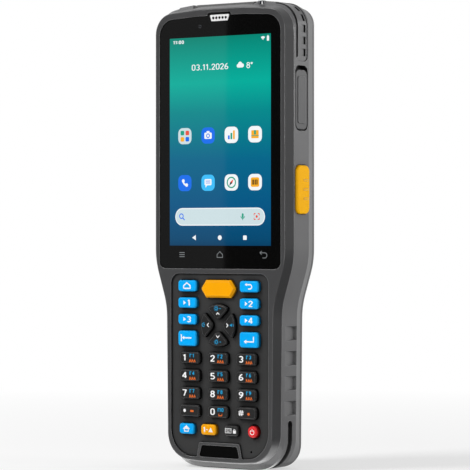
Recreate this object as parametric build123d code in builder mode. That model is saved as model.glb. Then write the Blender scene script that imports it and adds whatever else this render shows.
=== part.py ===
from build123d import *
import os
from math import atan, cos, radians, sin, sqrt, tan

os.makedirs("parts", exist_ok=True)

# Portable barcode data terminal, standing upright on its foot.
# +Z runs up its length, +X is the user's right and the screen faces -Y.
# A depth is measured back from the front face of the touch glass. Millimetres.

# ---- overall form ----
overall_height = 193.2
head_half_width = 35.2
waist_half_width = 29.3
foot_half_width = 28.6
waist_bottom = 67.3
waist_rise = 18.5
waist_radius = 32.0
crown_flat = 12.0
foot_flat = 10.0
soft_bend = 60.0
head_corner = 10.5
foot_corner = 13.0
foot_rise = 1.2
foot_trim = 0.15
crown_drop = 2.4
wall = 2.0

# ---- depth stations of the casing ----
rim_depth = -0.35
crease_depth = 3.3
full_depth = 5.6
facet_depth = 13.7
facet_end_band = 3.0
back_depth = 24.0
back_round = 2.6
rim_inset = 2.1
rim_top_drop = 3.2
rim_bottom_rise = 2.85
crease_top_drop = 1.8
crease_bottom_rise = 2.3
facet_inset = 3.2
facet_top_drop = 2.2

# ---- fits ----
seat_gap = 0.15
slide_gap = 0.25
stop_gap = 0.3

# ---- touch display ----
bezel_width = 4.3
rim_round = 0.5
glass_top_drop = 6.15
glass_bottom_drop = 3.0
glass_crown_drop = 1.05
glass_top_corner = 7.0
glass_bottom_corner = 3.0
glass_thickness = 1.1
ledge = 1.9
lcd_side_border = 3.5
lcd_bottom_border = 4.7
lcd_top_border = 6.65
lcd_thickness = 4.0
receiver_width = 10.0
receiver_height = 2.6
receiver_drop = 0.85
tab_border = 0.9
receiver_hole_radius = 0.42
receiver_hole_pitch = 1.6
front_camera_x = -10.1
front_camera_drop = 4.05
front_camera_radius = 1.7
front_camera_length = 3.4

# ---- keypad ----
panel_side_border = 4.5
panel_top_drop = 2.3
panel_bottom = 4.8
panel_depth = 0.3
panel_thickness = 1.3
panel_top_corner = 4.0
panel_bottom_corner = 11.0
panel_ledge = 1.5
plate_top = 9.5
plate_bottom = 4.9
plate_top_half_width = 8.9
plate_bottom_half_width = 10.2
plate_thickness = 1.0
plate_frame = 1.5
microphone_x = 15.9
microphone_z = 7.8
microphone_radius = 0.5

key_rise = 1.8
key_travel = 0.5
key_corner = 1.3
key_bevel = 0.45
scan_key_corner = 1.0
scan_key_bevel = 0.85
flange_width = 0.55
flange_thickness = 0.8
mat_thickness = 0.7
keypad_board_thickness = 0.8

side_key_inset = 9.0
side_key_width = 9.5
scan_key_z = 74.4
scan_key_width = 18.0
scan_key_height = 7.3
scan_key_point = 2.6
nav_z = 59.35
nav_radius = 8.7
nav_split = 1.3
nav_round = 0.9
nav_tip_round = 2.3
number_x_pitch = 14.5
number_z_pitch = 7.33
number_top_z = 45.7
number_width = 9.95
number_height = 4.87
bottom_row_z = 16.2
bottom_row_height = 4.35
power_key_x = 17.6
power_key_radius = 2.4
power_ring_radius = 3.2
power_ring_depth = 0.6

# ---- inner frame and boards ----
mid_frame_depth = 5.4
mid_frame_thickness = 1.2
main_board_depth = 10.4
main_board_thickness = 1.0
main_board_inset = 14.2
main_board_bottom = 96.0
main_board_top_drop = 23.2
standoff_radius = 2.2
standoff_side_inset = 4.0
standoff_end_inset = 6.0
mid_frame_top_drop = 7.7
pillar_radius = 2.8

# ---- side triggers ----
trigger_low_share = 0.5405
trigger_length = 19.8
trigger_width = 8.9
trigger_depth = 8.6
trigger_corner = 2.6
trigger_rise = 1.1
trigger_travel = 1.0
trigger_flange_thickness = 0.8
trigger_flange_reach = 1.6
trigger_rib_pitch = 3.77
switch_size = 4.0
switch_height = 2.4
switch_tab_thickness = 0.8

# ---- side port cover ----
cover_depth = 8.5
cover_width = 8.4
cover_length = 24.5
cover_top_drop = 29.3
cover_thickness = 1.6
cover_corner = 2.5
cover_edge = 0.5
cover_rib_border = 1.5
cover_rib_end = 2.7
cover_recess = 2.6
finger_notch = 1.7
cover_end_gap = 0.4
hinge_rise = 2.6
hinge_inset = 1.3
knuckle_radius = 1.2
knuckle_half_length = 2.8
hinge_pin_radius = 0.5
hinge_pin_bite = 0.7
hinge_well_depth = 4.5
port_block_reach = 3.8
port_block_margin = 1.5
usb_rise = 16.8
usb_length = 8.9
usb_thickness = 3.2
usb_depth_in = 6.8
usb_wall = 0.35
cover_seal_height = 0.5

# ---- relief on the sides ----
louvre_front = 8.6
louvre_slot_front = 10.9
louvre_back = 11.75
louvre_ramp_cut = 0.35
louvre_slot_cut = 1.5
louvre_height = 3.1
louvre_pitch = 4.85
louvre_bottom_drop = 22.2
louvre_count = 5
pocket_front = 5.5
pocket_deep = 12.8
pocket_back = 13.8
pocket_cut = 1.1
pocket_height = 6.0
pocket_draft = 37.0
pocket_pitch = 10.2
pocket_bottom_z = 25.8
pocket_count = 4
channel_depth = 4.6
channel_width = 8.3
channel_cut = 0.3
channel_corner = 2.6
channel_end_drop = 26.0
corner_groove_width = 1.8
corner_groove_cut = 0.9
corner_groove_end_rise = 1.6
strap_slot_depth = 7.9
strap_slot_width = 3.3
strap_slot_cut = 1.6
strap_slot_top_z = 20.7
strap_slot_inner_x = 17.0

# ---- scanner in the top end ----
scan_shift = -1.0
scan_recess_cut = 2.7
scan_floor_half_width = 15.15
scan_recess_back = 15.0
scan_end_reach = 2.6
scan_pad_margin = 3.0
scan_window_thickness = 2.1
scan_window_slope = 2.4
scan_window_drop = 1.3
scan_aperture_half_width = 11.0
scan_aperture_front = 7.6
scan_aperture_back = 13.4
engine_half_width = 10.8
engine_front = 7.4
engine_back_gap = 1.4
engine_height = 12.0

status_lens_inset = 17.1
status_lens_depth = 5.1
status_lens_radius = 1.5
status_lens_length = 3.1
status_lens_top_drop = 0.55
status_lens_round = 0.4

# ---- back: battery, latch, camera, loudspeaker, screws ----
bay_half_width = 20.5
bay_bottom = 21.5
bay_length = 81.5
bay_floor_depth = 13.4
bay_wall = 1.4
battery_cover_thickness = 1.8
battery_cover_lip = 0.9
battery_cover_corner = 3.0
contact_block_half_width = 5.0
contact_block_height = 4.0
contact_block_drop = 1.5
latch_width = 15.0
latch_length = 6.0
latch_plate_thickness = 0.9
latch_travel = 2.5
latch_hook = 0.9
latch_neck_width = 7.0
latch_neck_length = 3.0
latch_flange_thickness = 0.8
latch_groove_count = 3
latch_groove_pitch = 1.4
latch_groove_width = 0.6
latch_groove_cut = 0.35
latch_groove_border = 1.4
camera_window_inset = 18.2
camera_window_drop = 33.2
camera_window_width = 19.0
camera_window_height = 10.0
camera_window_thickness = 0.8
camera_module_shift = 4.5
camera_module_size = 8.5
camera_module_length = 5.5
speaker_inset = 18.2
speaker_drop = 33.2
speaker_width = 15.0
speaker_height = 11.0
speaker_thickness = 4.0
speaker_slot_width = 10.0
speaker_slot_height = 1.0
speaker_slot_pitch = 2.0
speaker_slot_count = 4
screw_head_radius = 2.1
screw_head_height = 1.6
screw_shank_radius = 1.1
screw_length = 10.0
screw_boss_radius = 3.2
screw_bore_gap = 0.05
pillar_back_drop = 9.8
head_screw_inset = 10.2
upper_screw_drop = 17.2
lower_screw_rise = 12.0
foot_screw_inset = 12.6
foot_screw_z = 12.0

# ---- charging contacts in the foot ----
contact_count = 4
contact_pitch = 4.2
contact_width = 2.2
contact_length = 3.0
contact_depth = 11.0
contact_recess = 0.2

# Places in the head hang from its top end and its sides, those of the grip stand on the foot.
waist_top = waist_bottom + waist_rise
glass_half_width = head_half_width - bezel_width
glass_top = overall_height - glass_top_drop
glass_bottom = waist_top - glass_bottom_drop
lcd_half_width = glass_half_width - lcd_side_border
lcd_bottom = glass_bottom + lcd_bottom_border
lcd_top = glass_top - lcd_top_border
receiver_z = glass_top - receiver_drop
front_camera_z = glass_top - front_camera_drop
panel_half_width = waist_half_width - panel_side_border
panel_top = glass_bottom - panel_top_drop
side_key_x = panel_half_width - side_key_inset
main_board_half_width = head_half_width - main_board_inset
main_board_top = overall_height - main_board_top_drop
mid_frame_top = overall_height - mid_frame_top_drop
cover_top = overall_height - cover_top_drop
cover_bottom = cover_top - cover_length
usb_z = cover_bottom + usb_rise
louvre_bottom_z = overall_height - louvre_bottom_drop
channel_end_z = overall_height - channel_end_drop
scan_floor_z = overall_height - scan_recess_cut
status_lens_x = head_half_width - status_lens_inset
status_lens_bottom = overall_height - status_lens_top_drop - status_lens_length
bay_top = bay_bottom + bay_length
contact_block_top = bay_top - contact_block_drop
contact_block_bottom = contact_block_top - contact_block_height
camera_window_x = camera_window_inset - head_half_width
camera_window_z = overall_height - camera_window_drop
camera_module_x = camera_window_x - camera_module_shift
speaker_x = head_half_width - speaker_inset
speaker_z = overall_height - speaker_drop
facet_end_depth = back_depth - facet_end_band

# The trigger shares the straight side between the waist and the port cover.
half_flange = trigger_length / 2 + trigger_flange_reach
block_bottom = cover_bottom - cover_end_gap - port_block_margin
block_top = cover_top + finger_notch + port_block_margin
waist_turn = atan((head_half_width - waist_half_width) / waist_rise)
side_bottom = waist_top + waist_radius * tan(waist_turn / 2)
free_side = block_bottom - side_bottom - 2 * half_flange
trigger_z = side_bottom + half_flange + trigger_low_share * free_side

# Lengths that follow from the driving dimensions.
key_front_depth = panel_depth - key_rise
face_y = -(back_depth + key_front_depth) / 2
panel_back = panel_depth + panel_thickness
flange_depth = panel_back + stop_gap
flange_back = flange_depth + flange_thickness
mat_depth = flange_back + key_travel + stop_gap
keypad_board_depth = mat_depth + mat_thickness + 0.1
side_inner_x = head_half_width - wall
latch_neck_bottom = bay_top + bay_wall + 0.6
trigger_flange_x = side_inner_x - stop_gap - trigger_flange_thickness
switch_back_x = trigger_flange_x - trigger_travel - stop_gap - switch_height
mid_frame_half_width = switch_back_x
back_inner_depth = back_depth - wall
engine_back = back_inner_depth - engine_back_gap


def depth_plane(depth):
    """Front-view plane at a depth: local x is X, local y is Z, the normal faces the user."""
    return Plane.XZ.offset(-(face_y + depth))


def side_plane(side, x):
    """Plane on one side (1 right, -1 left): local x is side*Y, local y is Z."""
    return Plane(origin=(side * x, 0, 0), x_dir=(0, side, 0), z_dir=(side, 0, 0))


def mirrored_path(right_half, radii):
    """Closed path of filleted corners, symmetric about X = 0."""
    points = right_half + [(-x, z) for x, z in reversed(right_half)]
    return FilletPolyline(*points, radius=radii + radii[::-1], close=True)


def casing_section(depth, inset=0.0, top_drop=0.0, bottom_rise=0.0, shrink=0.0):
    """Front-view outline of the casing: foot, grip, S-shaped waist and arched head."""
    side = inset + shrink
    top = overall_height - top_drop - shrink
    bottom = bottom_rise + shrink
    right_half = [
        (foot_flat, bottom),
        (foot_half_width - side, bottom + foot_rise),
        (waist_half_width - side, waist_bottom),
        (head_half_width - side, waist_top),
        (head_half_width - side, top - crown_drop + 0.4 * inset),
        (crown_flat, top),
    ]
    radii = [
        soft_bend,
        foot_corner - side,
        waist_radius,
        waist_radius,
        head_corner - side,
        soft_bend,
    ]
    with BuildSketch(depth_plane(depth)) as section:
        with BuildLine():
            mirrored_path(right_half, radii)
        make_face()
    return section.sketch


def casing_stations(shrink=0.0):
    """Sections of the rear casing from the crease to the back, moved in by shrink."""
    facet = {"inset": facet_inset, "top_drop": facet_top_drop, "bottom_rise": -foot_trim}
    crease = {"top_drop": crease_top_drop, "bottom_rise": crease_bottom_rise}
    return [
        casing_section(crease_depth, shrink=shrink, **crease),
        casing_section(full_depth, bottom_rise=-foot_trim, shrink=shrink),
        casing_section(facet_depth, bottom_rise=-foot_trim, shrink=shrink),
        casing_section(facet_end_depth, shrink=shrink, **facet),
        casing_section(back_depth - shrink, shrink=shrink, **facet),
    ]


def glass_section(depth, shrink=0.0, tab=True):
    """Outline of the touch glass with its arched top and the tab round the receiver."""
    right_half = [
        (glass_half_width - shrink, glass_bottom + shrink),
        (glass_half_width - shrink, glass_top - glass_crown_drop - shrink),
        (crown_flat, glass_top - shrink),
    ]
    radii = [glass_bottom_corner, glass_top_corner, soft_bend]
    tab_width = receiver_width + 2 * (tab_border - shrink)
    tab_height = receiver_height + 2 * (tab_border - shrink)
    with BuildSketch(depth_plane(depth)) as section:
        with BuildLine():
            mirrored_path(right_half, radii)
        make_face()
        if tab:
            with Locations((0, receiver_z)):
                RectangleRounded(tab_width, tab_height, 1.0)
    return section.sketch


def panel_section(depth, shrink=0.0):
    """Outline of the keypad panel, notched at its lower edge for the bare plate."""
    notch = plate_frame + shrink
    right_half = [
        (plate_top_half_width + notch, plate_top + notch),
        (plate_bottom_half_width + notch, panel_bottom + shrink),
        (panel_half_width - shrink, panel_bottom + shrink + 0.5),
        (panel_half_width - shrink, panel_top - shrink),
    ]
    radii = [1.0, 0.6, panel_bottom_corner - shrink, panel_top_corner - shrink]
    with BuildSketch(depth_plane(depth)) as section:
        with BuildLine():
            mirrored_path(right_half, radii)
        make_face()
    return section.sketch


def plate_section(depth, grow=0.0):
    """Trapezoid of the bare plate under the keypad."""
    with BuildSketch(depth_plane(depth)) as section:
        with BuildLine():
            mirrored_path(
                [
                    (plate_bottom_half_width + grow, plate_bottom - grow),
                    (plate_top_half_width + grow, plate_top + grow),
                ],
                [0.8, 1.0],
            )
        make_face()
    return section.sketch


def receiver_sketch(grow=0.0):
    """Inverted trapezoid of the telephone receiver, in front-view coordinates."""
    half_top = receiver_width / 2 + grow
    half_bottom = half_top - 0.35 * receiver_height
    half_height = receiver_height / 2 + grow
    with BuildSketch() as outline:
        with Locations((0, receiver_z)):
            Polygon(
                (-half_bottom, -half_height),
                (half_bottom, -half_height),
                (half_top, half_height),
                (-half_top, half_height),
            )
        fillet(outline.vertices(), radius=0.4)
    return outline.sketch


# ---- key table: name, shape, x, z, width, height, turn ----
side_key_rows = (
    ("home_key", "back_key", 75.5, 4.6),
    ("p1_key", "p2_key", 68.5, 4.3),
    ("p3_key", "p4_key", 61.65, 4.25),
    ("tab_key", "enter_key", 53.7, 6.35),
)
number_rows = (
    ("one_key", "two_key", "three_key"),
    ("four_key", "five_key", "six_key"),
    ("seven_key", "eight_key", "nine_key"),
    ("star_key", "zero_key", "hash_key"),
)
keys = [("scan_key", "hexagon", 0, scan_key_z, scan_key_width, scan_key_height, 0)]
for left_name, right_name, row_z, row_height in side_key_rows:
    keys.append((left_name, "block", -side_key_x, row_z, side_key_width, row_height, 0))
    keys.append((right_name, "block", side_key_x, row_z, side_key_width, row_height, 0))
for turn, name in ((0, "nav_up_key"), (90, "nav_left_key"), (180, "nav_down_key"), (270, "nav_right_key")):
    keys.append((name, "sector", 0, nav_z, 2 * nav_radius, 2 * nav_radius, turn))
for row, names in enumerate(number_rows):
    for column, name in enumerate(names):
        key_x = (column - 1) * number_x_pitch
        key_z = number_top_z - row * number_z_pitch
        keys.append((name, "block", key_x, key_z, number_width, number_height, 0))
keys.append(("fn_key", "block", -16.07, bottom_row_z, 7.6, bottom_row_height, 0))
keys.append(("alpha_key", "block", -4.85, bottom_row_z, 7.7, bottom_row_height, 0))
keys.append(("lock_key", "block", 6.91, bottom_row_z, 6.8, bottom_row_height, 0))
power_key_size = 2 * power_key_radius
keys.append(("power_key", "round", power_key_x, bottom_row_z, power_key_size, power_key_size, 0))


def key_sketch(key, grow=0.0):
    """Front-view outline of one key, grown on every side."""
    name, shape, x, z, width, height, turn = key
    half_width = width / 2 + grow
    half_height = height / 2 + grow
    with BuildSketch() as outline:
        with Locations(Location((x, z, 0), (0, 0, turn))):
            if shape == "block":
                RectangleRounded(2 * half_width, 2 * half_height, key_corner + grow)
            elif shape == "round":
                Circle(half_width)
            elif shape == "hexagon":
                shoulder = half_width - scan_key_point
                Polygon(
                    (half_width, 0),
                    (shoulder, half_height),
                    (-shoulder, half_height),
                    (-half_width, 0),
                    (-shoulder, -half_height),
                    (shoulder, -half_height),
                )
            else:
                apex = (nav_split - grow) * sqrt(2)
                Circle(half_width)
                Polygon(
                    (0, apex),
                    (half_width, apex + half_width),
                    (-half_width, apex + half_width),
                    align=None,
                    mode=Mode.INTERSECT,
                )
        if shape == "sector":
            tip = outline.vertices().sort_by_distance(Vertex(x, z, 0))[0]
            rim_corners = [corner for corner in outline.vertices() if corner != tip]
            fillet(rim_corners, radius=nav_round)
            tip = outline.vertices().sort_by_distance(Vertex(x, z, 0))[0]
            fillet(tip, radius=nav_tip_round + grow)
        elif shape == "hexagon":
            fillet(outline.vertices(), radius=scan_key_corner + grow)
    return outline.sketch


def on_depth(flat_sketch, depth):
    """Places a front-view sketch at a depth."""
    return depth_plane(depth) * flat_sketch


def block_between(x_range, depth_range, z_range, mode=Mode.ADD):
    """Plain block between two x, two depths and two heights, added to the current part."""
    x_low, x_high = x_range
    depth_low, depth_high = depth_range
    z_low, z_high = z_range
    middle = ((x_low + x_high) / 2, face_y + (depth_low + depth_high) / 2, (z_low + z_high) / 2)
    with Locations(middle):
        Box(x_high - x_low, depth_high - depth_low, z_high - z_low, mode=mode)


def front_disc(x, z, radius, depth, length, mode=Mode.ADD):
    """Round pin or bore along the depth, starting at a depth and running backwards."""
    with Locations(Location((x, face_y + depth + length / 2, z), (90, 0, 0))):
        Cylinder(radius, length, mode=mode)


def side_outline(side, x, depth, z, width, height, corner):
    """Rounded rectangle on a side plane, centred at a depth and a height."""
    with BuildSketch(side_plane(side, x)) as outline:
        with Locations((side * (face_y + depth), z)):
            RectangleRounded(width, height, corner)
    return outline.sketch


def both_ways(x_low, x_high):
    """The same span of x on the right and on the left."""
    return ((x_low, x_high), (-x_high, -x_low))


# ---- front housing: dark bezel that carries the glass and the keypad panel ----
tongue_gap = wall + seat_gap
tongue_width = 1.2
tongue_height = 1.7
tongue_relief_x = head_half_width - tongue_gap - tongue_width - 1.0
trigger_half_opening = half_flange + 0.6
crease_drops = {"top_drop": crease_top_drop, "bottom_rise": crease_bottom_rise}

with BuildPart() as front_housing:
    loft(
        [
            casing_section(rim_depth, rim_inset, rim_top_drop, rim_bottom_rise),
            casing_section(crease_depth, **crease_drops),
        ],
        ruled=True,
    )
    fillet(front_housing.edges().group_by(Axis.Y)[0], radius=rim_round)
    # Seat of the touch glass and the window behind it.
    extrude(glass_section(rim_depth, -seat_gap), amount=rim_depth - glass_thickness, mode=Mode.SUBTRACT)
    extrude(glass_section(glass_thickness, ledge, tab=False), amount=-crease_depth, mode=Mode.SUBTRACT)
    # Seat of the keypad panel and the window behind it.
    extrude(panel_section(rim_depth, -seat_gap), amount=rim_depth - panel_back, mode=Mode.SUBTRACT)
    extrude(panel_section(panel_back, panel_ledge), amount=-crease_depth, mode=Mode.SUBTRACT)
    # Seat of the bare plate in its raised frame, and the microphone bore.
    extrude(plate_section(rim_depth, seat_gap), amount=rim_depth - plate_thickness, mode=Mode.SUBTRACT)
    # Tongue that locates the front housing inside the rear one.
    extrude(casing_section(crease_depth, shrink=tongue_gap, **crease_drops), amount=-tongue_height)
    extrude(
        casing_section(crease_depth, shrink=tongue_gap + tongue_width, **crease_drops),
        amount=-tongue_height,
        mode=Mode.SUBTRACT,
    )
    tongue_span = (crease_depth, crease_depth + tongue_height)
    for x_range in both_ways(tongue_relief_x, head_half_width):
        heights = (trigger_z - trigger_half_opening, trigger_z + trigger_half_opening)
        block_between(x_range, tongue_span, heights, Mode.SUBTRACT)
    block_between(
        (tongue_relief_x - port_block_reach, head_half_width),
        tongue_span,
        (block_bottom - 0.5, block_top + 0.5),
        Mode.SUBTRACT,
    )
front_housing.part.label = "front_housing"
export_step(front_housing.part, "parts/front_housing.step")

# ---- touch glass, display and front camera ----
with BuildPart() as touch_glass:
    extrude(glass_section(0), amount=-glass_thickness)
    extrude(on_depth(receiver_sketch(seat_gap), 0), amount=-glass_thickness, mode=Mode.SUBTRACT)
touch_glass.part.label = "touch_glass"
export_step(touch_glass.part, "parts/touch_glass.step")

with BuildPart() as receiver_grille:
    extrude(on_depth(receiver_sketch(), -0.1), amount=-0.9)
    with BuildSketch(depth_plane(-0.1)):
        with Locations((0, receiver_z)):
            with GridLocations(receiver_hole_pitch, 1, 5, 1):
                Circle(receiver_hole_radius)
    extrude(amount=-0.9, mode=Mode.SUBTRACT)
receiver_grille.part.label = "receiver_grille"
export_step(receiver_grille.part, "parts/receiver_grille.step")

with BuildPart() as lcd_panel:
    block_between(
        (-lcd_half_width, lcd_half_width),
        (glass_thickness, glass_thickness + lcd_thickness),
        (lcd_bottom, lcd_top),
    )
lcd_panel.part.label = "lcd_panel"
export_step(lcd_panel.part, "parts/lcd_panel.step")

with BuildPart() as front_camera:
    front_disc(front_camera_x, front_camera_z, front_camera_radius, glass_thickness, front_camera_length)
    iris = 0.6 * front_camera_radius
    front_disc(front_camera_x, front_camera_z, iris, glass_thickness, 0.4, Mode.SUBTRACT)
front_camera.part.label = "front_camera"
export_step(front_camera.part, "parts/front_camera.step")

# ---- keypad: panel, plate, keys, mat and board ----
with BuildPart() as keypad_panel:
    extrude(panel_section(panel_depth), amount=-panel_thickness)
    for key in keys:
        opening = on_depth(key_sketch(key, slide_gap), panel_depth)
        extrude(opening, amount=-panel_thickness, mode=Mode.SUBTRACT)
    front_disc(power_key_x, bottom_row_z, power_ring_radius, panel_depth, power_ring_depth, Mode.SUBTRACT)
    front_disc(microphone_x, microphone_z, microphone_radius, panel_depth, panel_thickness, Mode.SUBTRACT)
keypad_panel.part.label = "keypad_panel"
export_step(keypad_panel.part, "parts/keypad_panel.step")

with BuildPart() as blank_plate:
    extrude(plate_section(0), amount=-plate_thickness)
blank_plate.part.label = "blank_plate"
export_step(blank_plate.part, "parts/blank_plate.step")

for key in keys:
    name = key[0]
    with BuildPart() as key_part:
        extrude(on_depth(key_sketch(key), key_front_depth), amount=key_front_depth - flange_depth)
        bevel = scan_key_bevel if key[1] == "hexagon" else key_bevel
        chamfer(key_part.faces().sort_by(Axis.Y)[0].edges(), bevel)
        extrude(on_depth(key_sketch(key, flange_width), flange_depth), amount=-flange_thickness)
    key_part.part.label = name
    export_step(key_part.part, f"parts/{name}.step")

with BuildPart() as keypad_mat:
    extrude(panel_section(mat_depth, panel_ledge + stop_gap), amount=-mat_thickness)
keypad_mat.part.label = "keypad_mat"
export_step(keypad_mat.part, "parts/keypad_mat.step")

with BuildPart() as keypad_board:
    extrude(panel_section(keypad_board_depth, panel_ledge + stop_gap), amount=-keypad_board_thickness)
keypad_board.part.label = "keypad_board"
export_step(keypad_board.part, "parts/keypad_board.step")

# ---- rear housing ----
corner_centre_x = head_half_width - head_corner
crown_turn = radians(90) - (crown_drop / (head_half_width - crown_flat))
corner_centre_z = overall_height - crown_drop - head_corner * sin(crown_turn / 2) / cos(crown_turn / 2)
scan_pad_bottom = scan_floor_z - wall - 0.2
scan_pad_half_width = scan_floor_half_width + scan_pad_margin
engine_top = scan_pad_bottom - stop_gap
bay_back_depth = back_depth - battery_cover_thickness
latch_bottom = bay_top + battery_cover_lip - latch_hook
latch_plate_depth = back_depth - latch_plate_thickness
hinge_x = head_half_width - hinge_inset
hinge_z = cover_bottom + hinge_rise
recess_bottom = cover_bottom - cover_end_gap
recess_top = cover_top + finger_notch
recess_width = cover_width + 2 * slide_gap
recess_floor_x = head_half_width - cover_recess
block_inner_x = side_inner_x - port_block_reach
block_depths = (crease_depth, cover_depth + recess_width / 2 + port_block_margin)
head_screw_x = head_half_width - head_screw_inset
head_screw_heights = (bay_top + lower_screw_rise, overall_height - upper_screw_drop)
screw_places = [(side * head_screw_x, z) for side in (1, -1) for z in head_screw_heights]
foot_screw_x = foot_half_width - foot_screw_inset
screw_places += [(side * foot_screw_x, foot_screw_z) for side in (1, -1)]
pillar_end_depth = back_depth - pillar_back_drop
standoff_x = main_board_half_width - standoff_side_inset
standoff_heights = (main_board_bottom + standoff_end_inset, main_board_top - standoff_end_inset)
standoff_places = [(side * standoff_x, z) for side in (1, -1) for z in standoff_heights]
boss_front_depth = pillar_end_depth + 0.2
contact_places = [(index - (contact_count - 1) / 2) * contact_pitch for index in range(contact_count)]


def outline_groove(depth, width, cut, inner_x, z_range, end_corner):
    """Groove of constant cut that follows the casing outline on both sides, with round ends."""
    z_low, z_high = z_range
    with BuildPart() as groove:
        extrude(casing_section(depth, shrink=-1.0), amount=-width)
        extrude(casing_section(depth, shrink=cut), amount=-width, mode=Mode.SUBTRACT)
        block_between((-inner_x, inner_x), (depth, depth + width), (-5, overall_height + 5), Mode.SUBTRACT)
        with BuildSketch(Plane.YZ):
            with Locations((face_y + depth + width / 2, (z_low + z_high) / 2)):
                RectangleRounded(width, z_high - z_low, end_corner)
        extrude(amount=head_half_width + 2, both=True, mode=Mode.INTERSECT)
    return groove.part


def surface_plane(side, x, z, tilt):
    """Plane across the side wall: local x points out of the wall, local y is Y."""
    out_x, out_z = side * cos(tilt), sin(tilt)
    return Plane(origin=(side * x, 0, z), x_dir=(out_x, 0, out_z), z_dir=(-out_z, 0, out_x))


def louvre_cut(side, along):
    """Louvre in the channel floor: a shallow ramp that ends in a deep narrow slot."""
    tilt = max(0.0, along / head_corner)
    x = corner_centre_x + head_corner * cos(tilt)
    z = corner_centre_z + (head_corner * sin(tilt) if along > 0 else along)
    with BuildSketch(surface_plane(side, x, z, tilt)) as profile:
        Polygon(
            (1, face_y + louvre_front),
            (-channel_cut, face_y + louvre_front),
            (-channel_cut - louvre_ramp_cut, face_y + louvre_slot_front),
            (-louvre_slot_cut, face_y + louvre_slot_front),
            (-louvre_slot_cut, face_y + louvre_back),
            (1, face_y + louvre_back),
            align=None,
        )
    extrude(profile.sketch, amount=louvre_height / 2, both=True, mode=Mode.SUBTRACT)


def pocket_form(side, z):
    """Grip pocket: a long ramp down from the front, a short one back up, and drafted ends."""
    x = grip_half_width(z)
    reach = 1.0
    inward = Plane(origin=(side * (x + reach), 0, z), x_dir=(0, side, 0), z_dir=(-side, 0, 0))
    with BuildPart(mode=Mode.PRIVATE) as form:
        with BuildSketch(surface_plane(side, x, z, 0)):
            Polygon(
                (0, face_y + pocket_front),
                (-pocket_cut, face_y + pocket_deep),
                (0, face_y + pocket_back),
                (reach, face_y + pocket_back),
                (reach, face_y + pocket_front),
                align=None,
            )
        extrude(amount=pocket_height, both=True)
        with BuildSketch(inward):
            with Locations((side * (face_y + pocket_deep), 0)):
                Rectangle(
                    2 * (pocket_back - pocket_front) + 4 * reach,
                    pocket_height + 2 * reach * tan(radians(pocket_draft)),
                )
        extrude(amount=reach + pocket_cut, taper=pocket_draft, mode=Mode.INTERSECT)
    return form.part


def grip_half_width(z):
    """Half width of the slightly tapered grip at a height."""
    share = (z - foot_rise) / (waist_bottom - foot_rise)
    return foot_half_width + share * (waist_half_width - foot_half_width)


louvre_channels = outline_groove(
    channel_depth,
    channel_width,
    channel_cut,
    corner_centre_x,
    (channel_end_z, overall_height + 5),
    channel_corner,
)
corner_grooves = outline_groove(
    channel_depth,
    corner_groove_width,
    corner_groove_cut,
    corner_centre_x,
    (channel_end_z + corner_groove_end_rise, overall_height + 5),
    0.49 * corner_groove_width,
)
strap_slots = outline_groove(
    strap_slot_depth,
    strap_slot_width,
    strap_slot_cut,
    strap_slot_inner_x,
    (-5, strap_slot_top_z),
    0.49 * strap_slot_width,
)

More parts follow.
